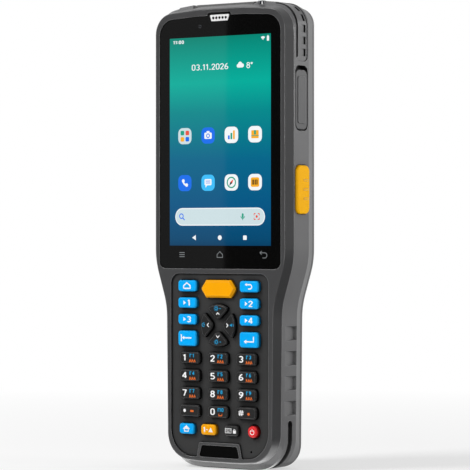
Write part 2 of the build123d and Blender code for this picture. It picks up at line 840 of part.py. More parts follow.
with BuildPart() as rear_housing:
    loft(casing_stations(), ruled=True)
    fillet(rear_housing.edges().group_by(Axis.Y)[-1], radius=back_round)
    # The foot is trimmed to one flat face to stand on.
    split(bisect_by=Plane.XY, keep=Keep.TOP)
    loft(casing_stations(wall), ruled=True, mode=Mode.SUBTRACT)

    # Inner pads and walls: scan pad, port block, battery bay and screw bosses.
    scan_pad_span = (scan_shift - scan_pad_half_width, scan_shift + scan_pad_half_width)
    block_between(
        scan_pad_span,
        (crease_depth + tongue_height + stop_gap, scan_recess_back + 2),
        (scan_pad_bottom, scan_floor_z + 0.5),
    )
    block_between(
        scan_pad_span,
        (crease_depth + 0.5, crease_depth + tongue_height + stop_gap),
        (overall_height - crease_top_drop - wall + 0.1, scan_floor_z + 0.2),
    )
    block_between((block_inner_x, side_inner_x + 0.5), block_depths, (block_bottom, block_top))
    block_between(
        (-bay_half_width - bay_wall, bay_half_width + bay_wall),
        (bay_floor_depth - bay_wall, back_inner_depth + 0.5),
        (bay_bottom - bay_wall, bay_top + bay_wall),
    )
    for x, z in screw_places:
        front_disc(x, z, screw_boss_radius, boss_front_depth, back_inner_depth + 0.5 - boss_front_depth)

    # Battery bay, the rebate of its cover and the slot of the battery contacts.
    block_between(
        (-bay_half_width, bay_half_width),
        (bay_floor_depth, back_depth),
        (bay_bottom, bay_top),
        Mode.SUBTRACT,
    )
    with BuildSketch(depth_plane(bay_back_depth)):
        with Locations((0, (bay_bottom + bay_top) / 2)):
            RectangleRounded(
                2 * (bay_half_width + battery_cover_lip),
                bay_top - bay_bottom + 2 * battery_cover_lip,
                battery_cover_corner,
            )
    extrude(amount=-battery_cover_thickness, mode=Mode.SUBTRACT)
    block_between(
        (-contact_block_half_width - seat_gap, contact_block_half_width + seat_gap),
        (bay_floor_depth - bay_wall, bay_floor_depth),
        (contact_block_bottom - seat_gap, contact_block_top + seat_gap),
        Mode.SUBTRACT,
    )

    # Rebate and slot of the battery latch.
    block_between(
        (-latch_width / 2 - slide_gap, latch_width / 2 + slide_gap),
        (latch_plate_depth - seat_gap, back_depth),
        (bay_top + battery_cover_lip - 0.5, latch_bottom + latch_length + latch_travel + slide_gap),
        Mode.SUBTRACT,
    )
    block_between(
        (-latch_neck_width / 2 - slide_gap, latch_neck_width / 2 + slide_gap),
        (back_inner_depth, back_depth),
        (
            latch_neck_bottom - slide_gap,
            latch_neck_bottom + latch_neck_length + latch_travel + slide_gap,
        ),
        Mode.SUBTRACT,
    )

    # Trigger openings on both sides.
    for side in (1, -1):
        opening = side_outline(
            side,
            side_inner_x - 0.5,
            trigger_depth,
            trigger_z,
            trigger_width + 2 * slide_gap,
            trigger_length + 2 * slide_gap,
            trigger_corner + slide_gap,
        )
        extrude(opening, amount=wall + 1, mode=Mode.SUBTRACT)

    # Recess of the port cover, the well of its hinge, the pin bore and the socket hole.
    recess = side_outline(
        1,
        recess_floor_x,
        cover_depth,
        (recess_bottom + recess_top) / 2,
        recess_width,
        recess_top - recess_bottom,
        cover_corner + slide_gap,
    )
    extrude(recess, amount=cover_recess + 1, mode=Mode.SUBTRACT)
    block_between(
        (head_half_width - hinge_well_depth, recess_floor_x),
        (cover_depth - recess_width / 2, cover_depth + recess_width / 2),
        (recess_bottom, hinge_z + knuckle_radius + stop_gap),
        Mode.SUBTRACT,
    )
    front_disc(
        hinge_x,
        hinge_z,
        hinge_pin_radius + 0.05,
        cover_depth - recess_width / 2 - hinge_pin_bite,
        recess_width + 2 * hinge_pin_bite,
        Mode.SUBTRACT,
    )
    socket_hole = side_outline(
        1,
        block_inner_x - 0.5,
        cover_depth,
        usb_z,
        usb_thickness + 2 * seat_gap,
        usb_length + 2 * seat_gap,
        usb_thickness / 2,
    )
    extrude(socket_hole, amount=recess_floor_x - block_inner_x + 1, mode=Mode.SUBTRACT)

    # Scan recess across the top end and the aperture under its window.
    with BuildSketch(depth_plane(crease_depth - 0.5)):
        Polygon(
            (scan_shift - scan_floor_half_width, scan_floor_z),
            (scan_shift + scan_floor_half_width, scan_floor_z),
            (scan_shift + scan_floor_half_width + scan_end_reach, overall_height + 1),
            (scan_shift - scan_floor_half_width - scan_end_reach, overall_height + 1),
            align=None,
        )
    extrude(amount=crease_depth - 0.5 - scan_recess_back, mode=Mode.SUBTRACT)
    block_between(
        (scan_shift - scan_aperture_half_width, scan_shift + scan_aperture_half_width),
        (scan_aperture_front, scan_aperture_back),
        (scan_pad_bottom - 1, scan_floor_z + 1),
        Mode.SUBTRACT,
    )

    # Louvres in their channels along the upper sides, grip pockets and strap slots.
    for side in (1, -1):
        for index in range(louvre_count):
            louvre_cut(side, louvre_bottom_z + index * louvre_pitch - corner_centre_z)
        for index in range(pocket_count):
            add(pocket_form(side, pocket_bottom_z + index * pocket_pitch), mode=Mode.SUBTRACT)
    add(louvre_channels, mode=Mode.SUBTRACT)
    add(corner_grooves, mode=Mode.SUBTRACT)
    add(strap_slots, mode=Mode.SUBTRACT)

    # Camera window seat and hole, loudspeaker slots.
    with BuildSketch(depth_plane(back_depth - camera_window_thickness)):
        with Locations((camera_window_x, camera_window_z)):
            RectangleRounded(
                camera_window_width + 2 * seat_gap,
                camera_window_height + 2 * seat_gap,
                camera_window_height / 2 - 0.5,
            )
    extrude(amount=-camera_window_thickness - 1, mode=Mode.SUBTRACT)
    camera_half = camera_module_size / 2 + seat_gap
    block_between(
        (camera_module_x - camera_half, camera_module_x + camera_half),
        (back_inner_depth - 1, back_depth),
        (camera_window_z - camera_half, camera_window_z + camera_half),
        Mode.SUBTRACT,
    )
    with BuildSketch(depth_plane(back_inner_depth - 0.5)):
        with Locations((speaker_x, speaker_z)):
            with GridLocations(1, speaker_slot_pitch, 1, speaker_slot_count):
                SlotOverall(speaker_slot_width, speaker_slot_height)
    extrude(amount=-wall - 1, mode=Mode.SUBTRACT)

    # Screw counterbores and bores, status lens hole, charging contact holes.
    for x, z in screw_places:
        head_depth = back_depth - screw_head_height
        front_disc(x, z, screw_head_radius + 0.2, head_depth, screw_head_height + 1, Mode.SUBTRACT)
        front_disc(x, z, screw_shank_radius + screw_bore_gap, boss_front_depth - 1, back_depth, Mode.SUBTRACT)
    with Locations((status_lens_x, face_y + status_lens_depth, status_lens_bottom - seat_gap)):
        Cylinder(
            status_lens_radius + seat_gap,
            status_lens_length + wall,
            align=(Align.CENTER, Align.CENTER, Align.MIN),
            mode=Mode.SUBTRACT,
        )
    for x in contact_places:
        block_between(
            (x - contact_width / 2 - 0.05, x + contact_width / 2 + 0.05),
            (contact_depth - contact_length / 2 - 0.05, contact_depth + contact_length / 2 + 0.05),
            (-1, wall + 1),
            Mode.SUBTRACT,
        )
rear_housing.part.label = "rear_housing"
export_step(rear_housing.part, "parts/rear_housing.step")

# ---- scan window, scan engine and status lens in the top end ----
with BuildPart() as scan_window:
    window_back = scan_recess_back - seat_gap
    window_front = crease_depth + 0.6
    window_half_width = scan_floor_half_width - seat_gap
    block_between(
        (scan_shift - window_half_width, scan_shift + window_half_width),
        (window_front, window_back),
        (scan_floor_z, scan_floor_z + scan_window_thickness),
    )
    # The front of the window slopes back from the rim of the front housing.
    window_top = scan_floor_z + scan_window_thickness
    with BuildSketch(Plane.YZ):
        Polygon(
            (face_y + window_front - 0.1, window_top - scan_window_drop),
            (face_y + window_front + scan_window_slope, window_top + 0.1),
            (face_y + window_front - 0.1, window_top + 0.1),
            align=None,
        )
    extrude(amount=head_half_width, both=True, mode=Mode.SUBTRACT)
scan_window.part.label = "scan_window"
export_step(scan_window.part, "parts/scan_window.step")

with BuildPart() as scan_engine:
    block_between(
        (scan_shift - engine_half_width, scan_shift + engine_half_width),
        (engine_front, engine_back),
        (engine_top - engine_height, engine_top),
    )
    nose = scan_engine.edges().filter_by(Axis.Z)
    fillet(nose, radius=1.0)
    for x, radius in ((-5.0, 3.2), (5.0, 2.4)):
        with Locations((scan_shift + x, face_y + (scan_aperture_front + scan_aperture_back) / 2, engine_top)):
            Cylinder(radius, 3.0, mode=Mode.SUBTRACT)
scan_engine.part.label = "scan_engine"
export_step(scan_engine.part, "parts/scan_engine.step")

with BuildPart() as status_lens:
    with Locations((status_lens_x, face_y + status_lens_depth, status_lens_bottom)):
        Cylinder(
            status_lens_radius,
            status_lens_length,
            align=(Align.CENTER, Align.CENTER, Align.MIN),
        )
    fillet(status_lens.edges().sort_by(Axis.Z)[-1], radius=status_lens_round)
status_lens.part.label = "status_lens"
export_step(status_lens.part, "parts/status_lens.step")

# ---- rear camera and loudspeaker ----
with BuildPart() as rear_camera_window:
    with BuildSketch(depth_plane(back_depth - camera_window_thickness)):
        with Locations((camera_window_x, camera_window_z)):
            RectangleRounded(camera_window_width, camera_window_height, camera_window_height / 2 - 0.6)
    extrude(amount=-camera_window_thickness)
rear_camera_window.part.label = "rear_camera_window"
export_step(rear_camera_window.part, "parts/rear_camera_window.step")

with BuildPart() as rear_camera_module:
    module_back = back_depth - camera_window_thickness
    with BuildSketch(depth_plane(module_back - camera_module_length)):
        with Locations((camera_module_x, camera_window_z)):
            Rectangle(camera_module_size, camera_module_size)
    extrude(amount=-camera_module_length)
    front_disc(camera_module_x, camera_window_z, 2.6, module_back - 1.2, 1.2, Mode.SUBTRACT)
rear_camera_module.part.label = "rear_camera_module"
export_step(rear_camera_module.part, "parts/rear_camera_module.step")

with BuildPart() as loudspeaker:
    speaker_back = back_inner_depth - 0.1
    with BuildSketch(depth_plane(speaker_back - speaker_thickness)):
        with Locations((speaker_x, speaker_z)):
            RectangleRounded(speaker_width, speaker_height, 2.0)
    extrude(amount=-speaker_thickness)
loudspeaker.part.label = "loudspeaker"
export_step(loudspeaker.part, "parts/loudspeaker.step")

# ---- frame and boards ----
with BuildPart() as mid_frame:
    frame_back = mid_frame_depth + mid_frame_thickness
    extrude(casing_section(mid_frame_depth, shrink=wall + 0.4), amount=-mid_frame_thickness)
    block_between(
        (-mid_frame_half_width, mid_frame_half_width),
        (mid_frame_depth, frame_back),
        (0, mid_frame_top),
        Mode.INTERSECT,
    )
    for x, z in screw_places:
        front_disc(x, z, pillar_radius, frame_back, pillar_end_depth - frame_back)
        front_disc(x, z, screw_shank_radius + screw_bore_gap, frame_back, pillar_end_depth, Mode.SUBTRACT)
    for x, z in standoff_places:
        front_disc(x, z, standoff_radius, frame_back, main_board_depth - frame_back)
    for side in (1, -1):
        tab_inner = switch_back_x - switch_tab_thickness
        x_range = (tab_inner, switch_back_x) if side == 1 else (-switch_back_x, -tab_inner)
        half_tab = switch_size / 2 + 0.5
        block_between(
            x_range,
            (mid_frame_depth, trigger_depth + switch_size / 2),
            (trigger_z - half_tab, trigger_z + half_tab),
        )
mid_frame.part.label = "mid_frame"
export_step(mid_frame.part, "parts/mid_frame.step")

with BuildPart() as main_board:
    board_depths = (main_board_depth, main_board_depth + main_board_thickness)
    block_between(
        (-main_board_half_width, main_board_half_width), board_depths, (main_board_bottom, main_board_top)
    )
    block_between(
        (main_board_half_width - 1, block_inner_x - 0.6),
        board_depths,
        (usb_z - usb_length / 2 - 2, usb_z + usb_length / 2 + 2),
    )
main_board.part.label = "main_board"
export_step(main_board.part, "parts/main_board.step")

# ---- battery, its cover, contacts and latch ----
with BuildPart() as battery_pack:
    block_between(
        (-bay_half_width + 0.2, bay_half_width - 0.2),
        (bay_floor_depth + 0.1, bay_back_depth - 0.1),
        (bay_bottom + 0.2, bay_top - 0.2),
    )
    fillet(battery_pack.edges().filter_by(Axis.Z), radius=1.5)
battery_pack.part.label = "battery_pack"
export_step(battery_pack.part, "parts/battery_pack.step")

with BuildPart() as battery_cover:
    with BuildSketch(depth_plane(bay_back_depth)):
        with Locations((0, (bay_bottom + bay_top) / 2)):
            RectangleRounded(
                2 * (bay_half_width + battery_cover_lip - seat_gap),
                bay_top - bay_bottom + 2 * (battery_cover_lip - seat_gap),
                battery_cover_corner,
            )
    extrude(amount=-battery_cover_thickness)
    block_between(
        (-latch_width / 2 - slide_gap, latch_width / 2 + slide_gap),
        (latch_plate_depth - seat_gap, back_depth),
        (latch_bottom - slide_gap, bay_top + battery_cover_lip),
        Mode.SUBTRACT,
    )
battery_cover.part.label = "battery_cover"
export_step(battery_cover.part, "parts/battery_cover.step")

with BuildPart() as battery_contacts:
    block_between(
        (-contact_block_half_width, contact_block_half_width),
        (main_board_depth + main_board_thickness, bay_floor_depth),
        (contact_block_bottom, contact_block_top),
    )
battery_contacts.part.label = "battery_contacts"
export_step(battery_contacts.part, "parts/battery_contacts.step")

with BuildPart() as battery_latch:
    block_between(
        (-latch_width / 2, latch_width / 2),
        (latch_plate_depth, back_depth),
        (latch_bottom, latch_bottom + latch_length),
    )
    block_between(
        (-latch_neck_width / 2, latch_neck_width / 2),
        (back_inner_depth - slide_gap - 0.1, latch_plate_depth),
        (latch_neck_bottom, latch_neck_bottom + latch_neck_length),
    )
    block_between(
        (-latch_neck_width / 2 - 1.5, latch_neck_width / 2 + 1.5),
        (back_inner_depth - slide_gap - latch_flange_thickness, back_inner_depth - slide_gap),
        (latch_neck_bottom, latch_neck_bottom + latch_neck_length),
    )
    # Finger grooves across the thumb plate.
    groove_half_width = latch_width / 2 - latch_groove_border
    latch_middle = latch_bottom + latch_length / 2
    for index in range(latch_groove_count):
        groove_z = latch_middle + (index - (latch_groove_count - 1) / 2) * latch_groove_pitch
        block_between(
            (-groove_half_width, groove_half_width),
            (back_depth - latch_groove_cut, back_depth),
            (groove_z - latch_groove_width / 2, groove_z + latch_groove_width / 2),
            Mode.SUBTRACT,
        )
battery_latch.part.label = "battery_latch"
export_step(battery_latch.part, "parts/battery_latch.step")

# ---- port cover, hinge pin and USB socket ----
with BuildPart() as io_cover:
    plate = side_outline(
        1,
        head_half_width - cover_thickness,
        cover_depth,
        cover_bottom + cover_length / 2,
        cover_width,
        cover_length,
        cover_corner,
    )
    extrude(plate, amount=cover_thickness)
    fillet(io_cover.faces().sort_by(Axis.X)[-1].edges(), radius=cover_edge)
    raised = side_outline(
        1,
        head_half_width - 0.1,
        cover_depth,
        cover_bottom + cover_length / 2,
        cover_width - 2 * cover_rib_border,
        cover_length - 2 * cover_rib_end,
        1.0,
    )
    extrude(raised, amount=0.35)
    seal = side_outline(
        1,
        head_half_width - cover_thickness - cover_seal_height,
        cover_depth,
        usb_z,
        usb_thickness + 2.6,
        usb_length + 2.6,
        (usb_thickness + 2.6) / 2 - 0.1,
    )
    extrude(seal, amount=cover_seal_height + 0.2)
    seal_hollow = side_outline(
        1,
        head_half_width - cover_thickness - cover_seal_height,
        cover_depth,
        usb_z,
        usb_thickness + 1.0,
        usb_length + 1.0,
        (usb_thickness + 1.0) / 2 - 0.1,
    )
    extrude(seal_hollow, amount=cover_seal_height, mode=Mode.SUBTRACT)
    front_disc(
        hinge_x, hinge_z, knuckle_radius, cover_depth - knuckle_half_length, 2 * knuckle_half_length
    )
    front_disc(
        hinge_x,
        hinge_z,
        hinge_pin_radius + seat_gap,
        cover_depth - cover_width,
        2 * cover_width,
        Mode.SUBTRACT,
    )
io_cover.part.label = "io_cover"
export_step(io_cover.part, "parts/io_cover.step")

with BuildPart() as io_cover_pin:
    front_disc(
        hinge_x,
        hinge_z,
        hinge_pin_radius,
        cover_depth - recess_width / 2 - hinge_pin_bite,
        recess_width + 2 * hinge_pin_bite,
    )
io_cover_pin.part.label = "io_cover_pin"
export_step(io_cover_pin.part, "parts/io_cover_pin.step")

with BuildPart() as usb_socket:
    usb_inner_x = recess_floor_x - usb_depth_in
    shell = side_outline(
        1, usb_inner_x, cover_depth, usb_z, usb_thickness, usb_length, usb_thickness / 2 - 0.05
    )
    extrude(shell, amount=usb_depth_in)
    mouth = side_outline(
        1,
        usb_inner_x + 1.0,
        cover_depth,
        usb_z,
        usb_thickness - 2 * usb_wall,
        usb_length - 2 * usb_wall,
        usb_thickness / 2 - usb_wall - 0.05,
    )
    extrude(mouth, amount=usb_depth_in, mode=Mode.SUBTRACT)
    tongue = side_outline(1, usb_inner_x + 0.9, cover_depth, usb_z, 0.7, usb_length - 2.6, 0.2)
    extrude(tongue, amount=usb_depth_in - 1.6)
usb_socket.part.label = "usb_socket"
export_step(usb_socket.part, "parts/usb_socket.step")

# ---- side triggers and their switches ----
for side, name in ((1, "side_trigger_right"), (-1, "side_trigger_left")):
    with BuildPart() as trigger:
        outer_x = head_half_width + trigger_rise
        cap = side_outline(
            side, trigger_flange_x, trigger_depth, trigger_z, trigger_width, trigger_length, trigger_corner
        )
        extrude(cap, amount=outer_x - trigger_flange_x)
        cap_face = trigger.faces().sort_by(Axis.X)[-1 if side == 1 else 0]
        fillet(cap_face.edges(), radius=0.8)
        flange = side_outline(
            side,
            trigger_flange_x,
            trigger_depth,
            trigger_z,
            trigger_width,
            trigger_length + 2 * trigger_flange_reach,
            0.8,
        )
        extrude(flange, amount=trigger_flange_thickness)
        with BuildSketch(side_plane(side, outer_x - 0.2)) as ribs:
            with Locations((side * (face_y + trigger_depth + 1.6), trigger_z)):
                with GridLocations(1, trigger_rib_pitch, 1, 3):
                    SlotOverall(3.4, 0.7)
        extrude(ribs.sketch, amount=0.4)
    trigger.part.label = name
    export_step(trigger.part, f"parts/{name}.step")

with BuildPart() as trigger_switches:
    for side in (1, -1):
        switch = side_outline(
            side, switch_back_x, trigger_depth, trigger_z, switch_size, switch_size, 0.4
        )
        extrude(switch, amount=switch_height - 0.6)
        with BuildSketch(side_plane(side, switch_back_x + switch_height - 0.6)) as button:
            with Locations((side * (face_y + trigger_depth), trigger_z)):
                Circle(1.1)
        extrude(button.sketch, amount=0.6)
trigger_switches.part.label = "trigger_switches"
export_step(trigger_switches.part, "parts/trigger_switches.step")

# ---- fasteners and charging contacts ----
with BuildPart() as housing_screws:
    for x, z in screw_places:
        head_depth = back_depth - screw_head_height
        front_disc(x, z, screw_head_radius, head_depth, screw_head_height - 0.3)
        front_disc(x, z, screw_shank_radius, head_depth - screw_length, screw_length)
        front_disc(x, z, 0.9, back_depth - 1.1, 1.0, Mode.SUBTRACT)
housing_screws.part.label = "housing_screws"
export_step(housing_screws.part, "parts/housing_screws.step")

with BuildPart() as charging_contacts:
    for x in contact_places:
        block_between(
            (x - contact_width / 2, x + contact_width / 2),
            (contact_depth - contact_length / 2, contact_depth + contact_length / 2),
            (contact_recess, wall + 0.6),
        )
charging_contacts.part.label = "charging_contacts"
export_step(charging_contacts.part, "parts/charging_contacts.step")
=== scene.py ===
from math import cos, hypot, pi, radians, sin

import bmesh
import bpy
from mathutils import Matrix, Vector


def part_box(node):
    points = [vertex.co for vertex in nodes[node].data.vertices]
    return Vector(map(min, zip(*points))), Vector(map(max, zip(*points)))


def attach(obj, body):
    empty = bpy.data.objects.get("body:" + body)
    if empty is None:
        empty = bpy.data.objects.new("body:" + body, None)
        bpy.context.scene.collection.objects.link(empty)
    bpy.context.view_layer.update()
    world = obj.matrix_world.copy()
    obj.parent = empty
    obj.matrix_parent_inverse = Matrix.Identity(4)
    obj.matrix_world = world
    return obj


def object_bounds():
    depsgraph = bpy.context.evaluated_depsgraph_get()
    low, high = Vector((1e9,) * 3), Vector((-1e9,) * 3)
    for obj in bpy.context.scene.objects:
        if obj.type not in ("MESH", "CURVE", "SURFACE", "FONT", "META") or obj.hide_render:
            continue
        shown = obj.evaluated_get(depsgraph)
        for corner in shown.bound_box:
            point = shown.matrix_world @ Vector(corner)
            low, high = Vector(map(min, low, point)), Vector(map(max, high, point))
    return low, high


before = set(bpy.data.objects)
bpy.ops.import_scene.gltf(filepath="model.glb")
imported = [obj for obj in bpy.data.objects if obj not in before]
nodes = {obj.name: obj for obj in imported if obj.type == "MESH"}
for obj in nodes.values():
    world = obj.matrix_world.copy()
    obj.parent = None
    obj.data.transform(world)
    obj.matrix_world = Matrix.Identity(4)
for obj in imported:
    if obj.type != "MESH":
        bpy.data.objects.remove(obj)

cad_low, cad_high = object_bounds()

# ---- Studio ----
# A seamless pale sheet under the terminal and a white room behind it.
# Soft boxes light it from the upper left and from behind on the right. Cards that the camera
# can't see stand where the touch glass would mirror the white room.

view_azimuth = radians(36.24)
camera_distance = 1.06638
camera_aim_x = 0.007865
camera_height = 0.0966
lens_length = 199.0
glass_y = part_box("touch_glass")[0].y

camera_back = Vector((sin(view_azimuth), -cos(view_azimuth), 0))
camera_place = Vector((camera_aim_x, glass_y, camera_height)) + camera_distance * camera_back
camera = bpy.data.objects.new("camera", bpy.data.cameras.new("camera"))
camera.data.lens = lens_length
camera.data.sensor_width = 36.0
camera.data.clip_start = 0.05
camera.location = camera_place
camera.rotation_euler = (-camera_back).to_track_quat("-Z", "Y").to_euler()
bpy.context.scene.collection.objects.link(camera)
bpy.context.scene.camera = camera
bpy.context.scene.view_settings.view_transform = "Standard"

room_light = 0.40
seen_white = 1.0
world = bpy.data.worlds.new("white_room")
bpy.context.scene.world = world
world.use_nodes = True
room = world.node_tree
room_background = room.nodes["Background"]


def seen_ray(tree):
    """1 for rays from the camera, a mirror or a glass, 0 for the rays that light things."""
    path = tree.nodes.new("ShaderNodeLightPath")
    seen = path.outputs["Is Camera Ray"]
    for other in ("Is Glossy Ray", "Is Transmission Ray"):
        either = tree.nodes.new("ShaderNodeMath")
        either.operation = "MAXIMUM"
        tree.links.new(seen, either.inputs[0])
        tree.links.new(path.outputs[other], either.inputs[1])
        seen = either.outputs[0]
    return seen


def product(tree, first, second):
    """Two masks or values multiplied."""
    times = tree.nodes.new("ShaderNodeMath")
    times.operation = "MULTIPLY"
    tree.links.new(first, times.inputs[0])
    tree.links.new(second, times.inputs[1])
    return times.outputs[0]


def set_inputs(node, **values):
    """Sets a node's inputs by name, with _ for each space."""
    for label, value in values.items():
        node.inputs[label.replace("_", " ")].default_value = value


def add_node(tree, kind, **values):
    """Adds a node to a tree and sets its inputs."""
    node = tree.nodes.new(kind)
    set_inputs(node, **values)
    return node


def spread(tree, value, span, new_span=(0.0, 1.0)):
    """Brings a value from one span to another, each a low and a high end."""
    (low, high), (new_low, new_high) = span, new_span
    ends = {"From_Min": low, "From_Max": high, "To_Min": new_low, "To_Max": new_high}
    node = add_node(tree, "ShaderNodeMapRange", **ends)
    tree.links.new(value, node.inputs["Value"])
    return node.outputs["Result"]


set_inputs(room_background, Color=(1, 1, 1, 1))
room_strength = spread(room, seen_ray(room), (0, 1), (room_light, seen_white))
room.links.new(room_strength, room_background.inputs["Strength"])


def make_piece(name, shape):
    """Puts a finished bmesh into the scene as an object at the origin."""
    bmesh.ops.recalc_face_normals(shape, faces=shape.faces)
    mesh = bpy.data.meshes.new(name)
    shape.to_mesh(mesh)
    shape.free()
    piece = bpy.data.objects.new(name, mesh)
    bpy.context.scene.collection.objects.link(piece)
    return piece


def new_material(name):
    """A material with its tree and its Principled shader."""
    material = bpy.data.materials.new(name)
    material.use_nodes = True
    return material, material.node_tree, material.node_tree.nodes["Principled BSDF"]


floor_half_width = 3.0
floor_colour = (0.93, 0.93, 0.93, 1)
floor_shadow_share = 0.45
floor_shadow_reach = 0.16
floor_white_from = 0.55
floor_sheet = bmesh.new()
bmesh.ops.create_grid(floor_sheet, x_segments=12, y_segments=12, size=floor_half_width)
floor = make_piece("floor", floor_sheet)
if floor.data.polygons[0].normal.z < 0:
    floor.data.flip_normals()
paper, paper_tree, paper_shader = new_material("pale_paper")
set_inputs(paper_shader, Base_Color=floor_colour, Roughness=0.9, Specular_IOR_Level=0.0)
# The seen paper keeps a share of the shadow near the terminal and is plain white farther out.
paper_place = paper_tree.nodes.new("ShaderNodeTexCoord")
paper_reach = paper_tree.nodes.new("ShaderNodeVectorMath")
paper_reach.operation = "LENGTH"
paper_tree.links.new(paper_place.outputs["Object"], paper_reach.inputs[0])
paper_white = spread(
    paper_tree,
    paper_reach.outputs["Value"],
    (floor_shadow_reach, floor_white_from),
    (1 - floor_shadow_share, 1),
)
paper_glow = paper_tree.nodes.new("ShaderNodeEmission")
paper_mix = paper_tree.nodes.new("ShaderNodeMixShader")
paper_seen = product(paper_tree, seen_ray(paper_tree), paper_white)
paper_tree.links.new(paper_seen, paper_mix.inputs["Fac"])
paper_tree.links.new(paper_shader.outputs[0], paper_mix.inputs[1])
paper_tree.links.new(paper_glow.outputs[0], paper_mix.inputs[2])
paper_output = paper_tree.nodes["Material Output"]
paper_tree.links.new(paper_mix.outputs[0], paper_output.inputs["Surface"])
floor.data.materials.append(paper)

middle = Vector((0, 0, (cad_low.z + cad_high.z) / 2))


def soft_box(name, azimuth, elevation, distance, width, watts):
    """Square area lamp aimed at the middle of the terminal. Azimuth 0 is the user's side."""
    turn, rise = radians(azimuth), radians(elevation)
    back = Vector((sin(turn) * cos(rise), -cos(turn) * cos(rise), sin(rise)))
    lamp = bpy.data.lights.new(name, "AREA")
    lamp.size = width
    lamp.energy = watts
    box = bpy.data.objects.new(name, lamp)
    box.location = middle + distance * back
    box.rotation_euler = (-back).to_track_quat("-Z", "Y").to_euler()
    bpy.context.scene.collection.objects.link(box)
    return box


soft_box("key_box", azimuth=-35, elevation=44, distance=1.3, width=0.35, watts=10.8)
soft_box("rim_box", azimuth=145, elevation=14, distance=1.2, width=0.25, watts=2.4)
soft_box("side_box", azimuth=108, elevation=12, distance=1.4, width=0.35, watts=3.8)
# A box that only reflections see, for the thin bright lines along the rounded rims.
rim_strip = soft_box("rim_strip", azimuth=22, elevation=5, distance=1.5, width=0.3, watts=10.0)
rim_strip.visible_diffuse = False


def card(name, corners, brightness):
    """Flat card of an even brightness, seen only in mirror images."""
    sheet = bmesh.new()
    sheet.faces.new([sheet.verts.new(corner) for corner in corners])
    piece = make_piece(name, sheet)
    material, tree, shader = new_material(name)
    set_inputs(
        shader,
        Base_Color=(0, 0, 0, 1),
        Specular_IOR_Level=0,
        Emission_Color=(1, 1, 1, 1),
        Emission_Strength=brightness,
    )
    piece.data.materials.append(material)
    piece.visible_camera = False
    piece.visible_diffuse = False
    piece.visible_shadow = False


def mirrored_place(x, z, y):
    """Where the camera sees the card plane at y mirrored in the glass at x, z."""
    eye = Vector((camera_place.x, 2 * glass_y - camera_place.y, camera_place.z))
    reach = (y - eye.y) / (glass_y - eye.y)
    return eye.x + reach * (x - eye.x), eye.z + reach * (z - eye.z)


# The sheen on the left of the glass ends on a slightly slanted edge.
card_y = -0.6
sheen_left = -0.70
sheen_top_x, sheen_top_z = mirrored_place(0.0048, 0.250, card_y)
sheen_low_x, sheen_low_z = mirrored_place(0.0010, 0.0, card_y)
sheen_corners = [
    (sheen_low_x, card_y, sheen_low_z),
    (sheen_top_x, card_y, sheen_top_z),
    (sheen_left, card_y, sheen_top_z),
    (sheen_left, card_y, sheen_low_z),
]
card("sheen_card", sheen_corners, brightness=0.24)


def upright_card(name, left, right, low, high, y, brightness):
    """Card square to the glass."""
    card(name, [(left, y, low), (right, y, low), (right, y, high), (left, y, high)], brightness)


upright_card(
    "dark_card", left=-0.75, right=-0.20, low=-0.1, high=0.45, y=card_y - 0.02, brightness=0.03
)
upright_card("front_dark_card", left=-0.5, right=0.5, low=-0.3, high=0.7, y=-1.7, brightness=0.08)
low_card_corners = [(0.05, 0.10, 0.001), (0.05, -0.30, 0.001)]
low_card_corners += [(0.55, -0.60, 0.09), (0.55, 0.25, 0.09)]
card("low_dark_card", low_card_corners, brightness=0.02)
# Pale ground under the foot, for the light line along the lower edge of the front housing.
ground_z = 0.0003
ground_front = [(-0.04, -0.017, ground_z), (0.04, -0.017, ground_z)]
ground_rear = [(0.04, 0.0, ground_z), (-0.04, 0.0, ground_z)]
card("ground_card", ground_front + ground_rear, brightness=4.0)

# ---- Inner frame and boards ----
# A pressed magnesium mid frame carries the boards. The boards are green fibreglass laminate with
# copper traces under solder mask, and a moulded silicone mat springs the keys back.


def linear(level):
    """Linear value of a screen level from 0 to 255."""
    share = level / 255
    return share / 12.92 if share <= 0.04045 else ((share + 0.055) / 1.055) ** 2.4


def tone(red, green, blue):
    """Linear colour of three screen levels."""
    return (linear(red), linear(green), linear(blue), 1)


def mixed(tree, share, under, over):
    """Colour between two colours that are sockets or plain colours, by a share."""
    mix = tree.nodes.new("ShaderNodeMix")
    mix.data_type = "RGBA"
    tree.links.new(share, mix.inputs["Factor"])
    # The node has sockets of the same names for numbers, so those for colours go by their place.
    for place, colour in ((6, under), (7, over)):
        if isinstance(colour, bpy.types.NodeSocket):
            tree.links.new(colour, mix.inputs[place])
        else:
            mix.inputs[place].default_value = colour
    return mix.outputs[2]


def new_group(name, inputs, outputs):
    """A shader node group with its input and output nodes."""
    group = bpy.data.node_groups.new(name, "ShaderNodeTree")
    for label, kind, value in inputs:
        socket = group.interface.new_socket(label, in_out="INPUT", socket_type=kind)
        socket.default_value = value
    for label, kind in outputs:
        group.interface.new_socket(label, in_out="OUTPUT", socket_type=kind)
    return group, group.nodes.new("NodeGroupInput"), group.nodes.new("NodeGroupOutput")


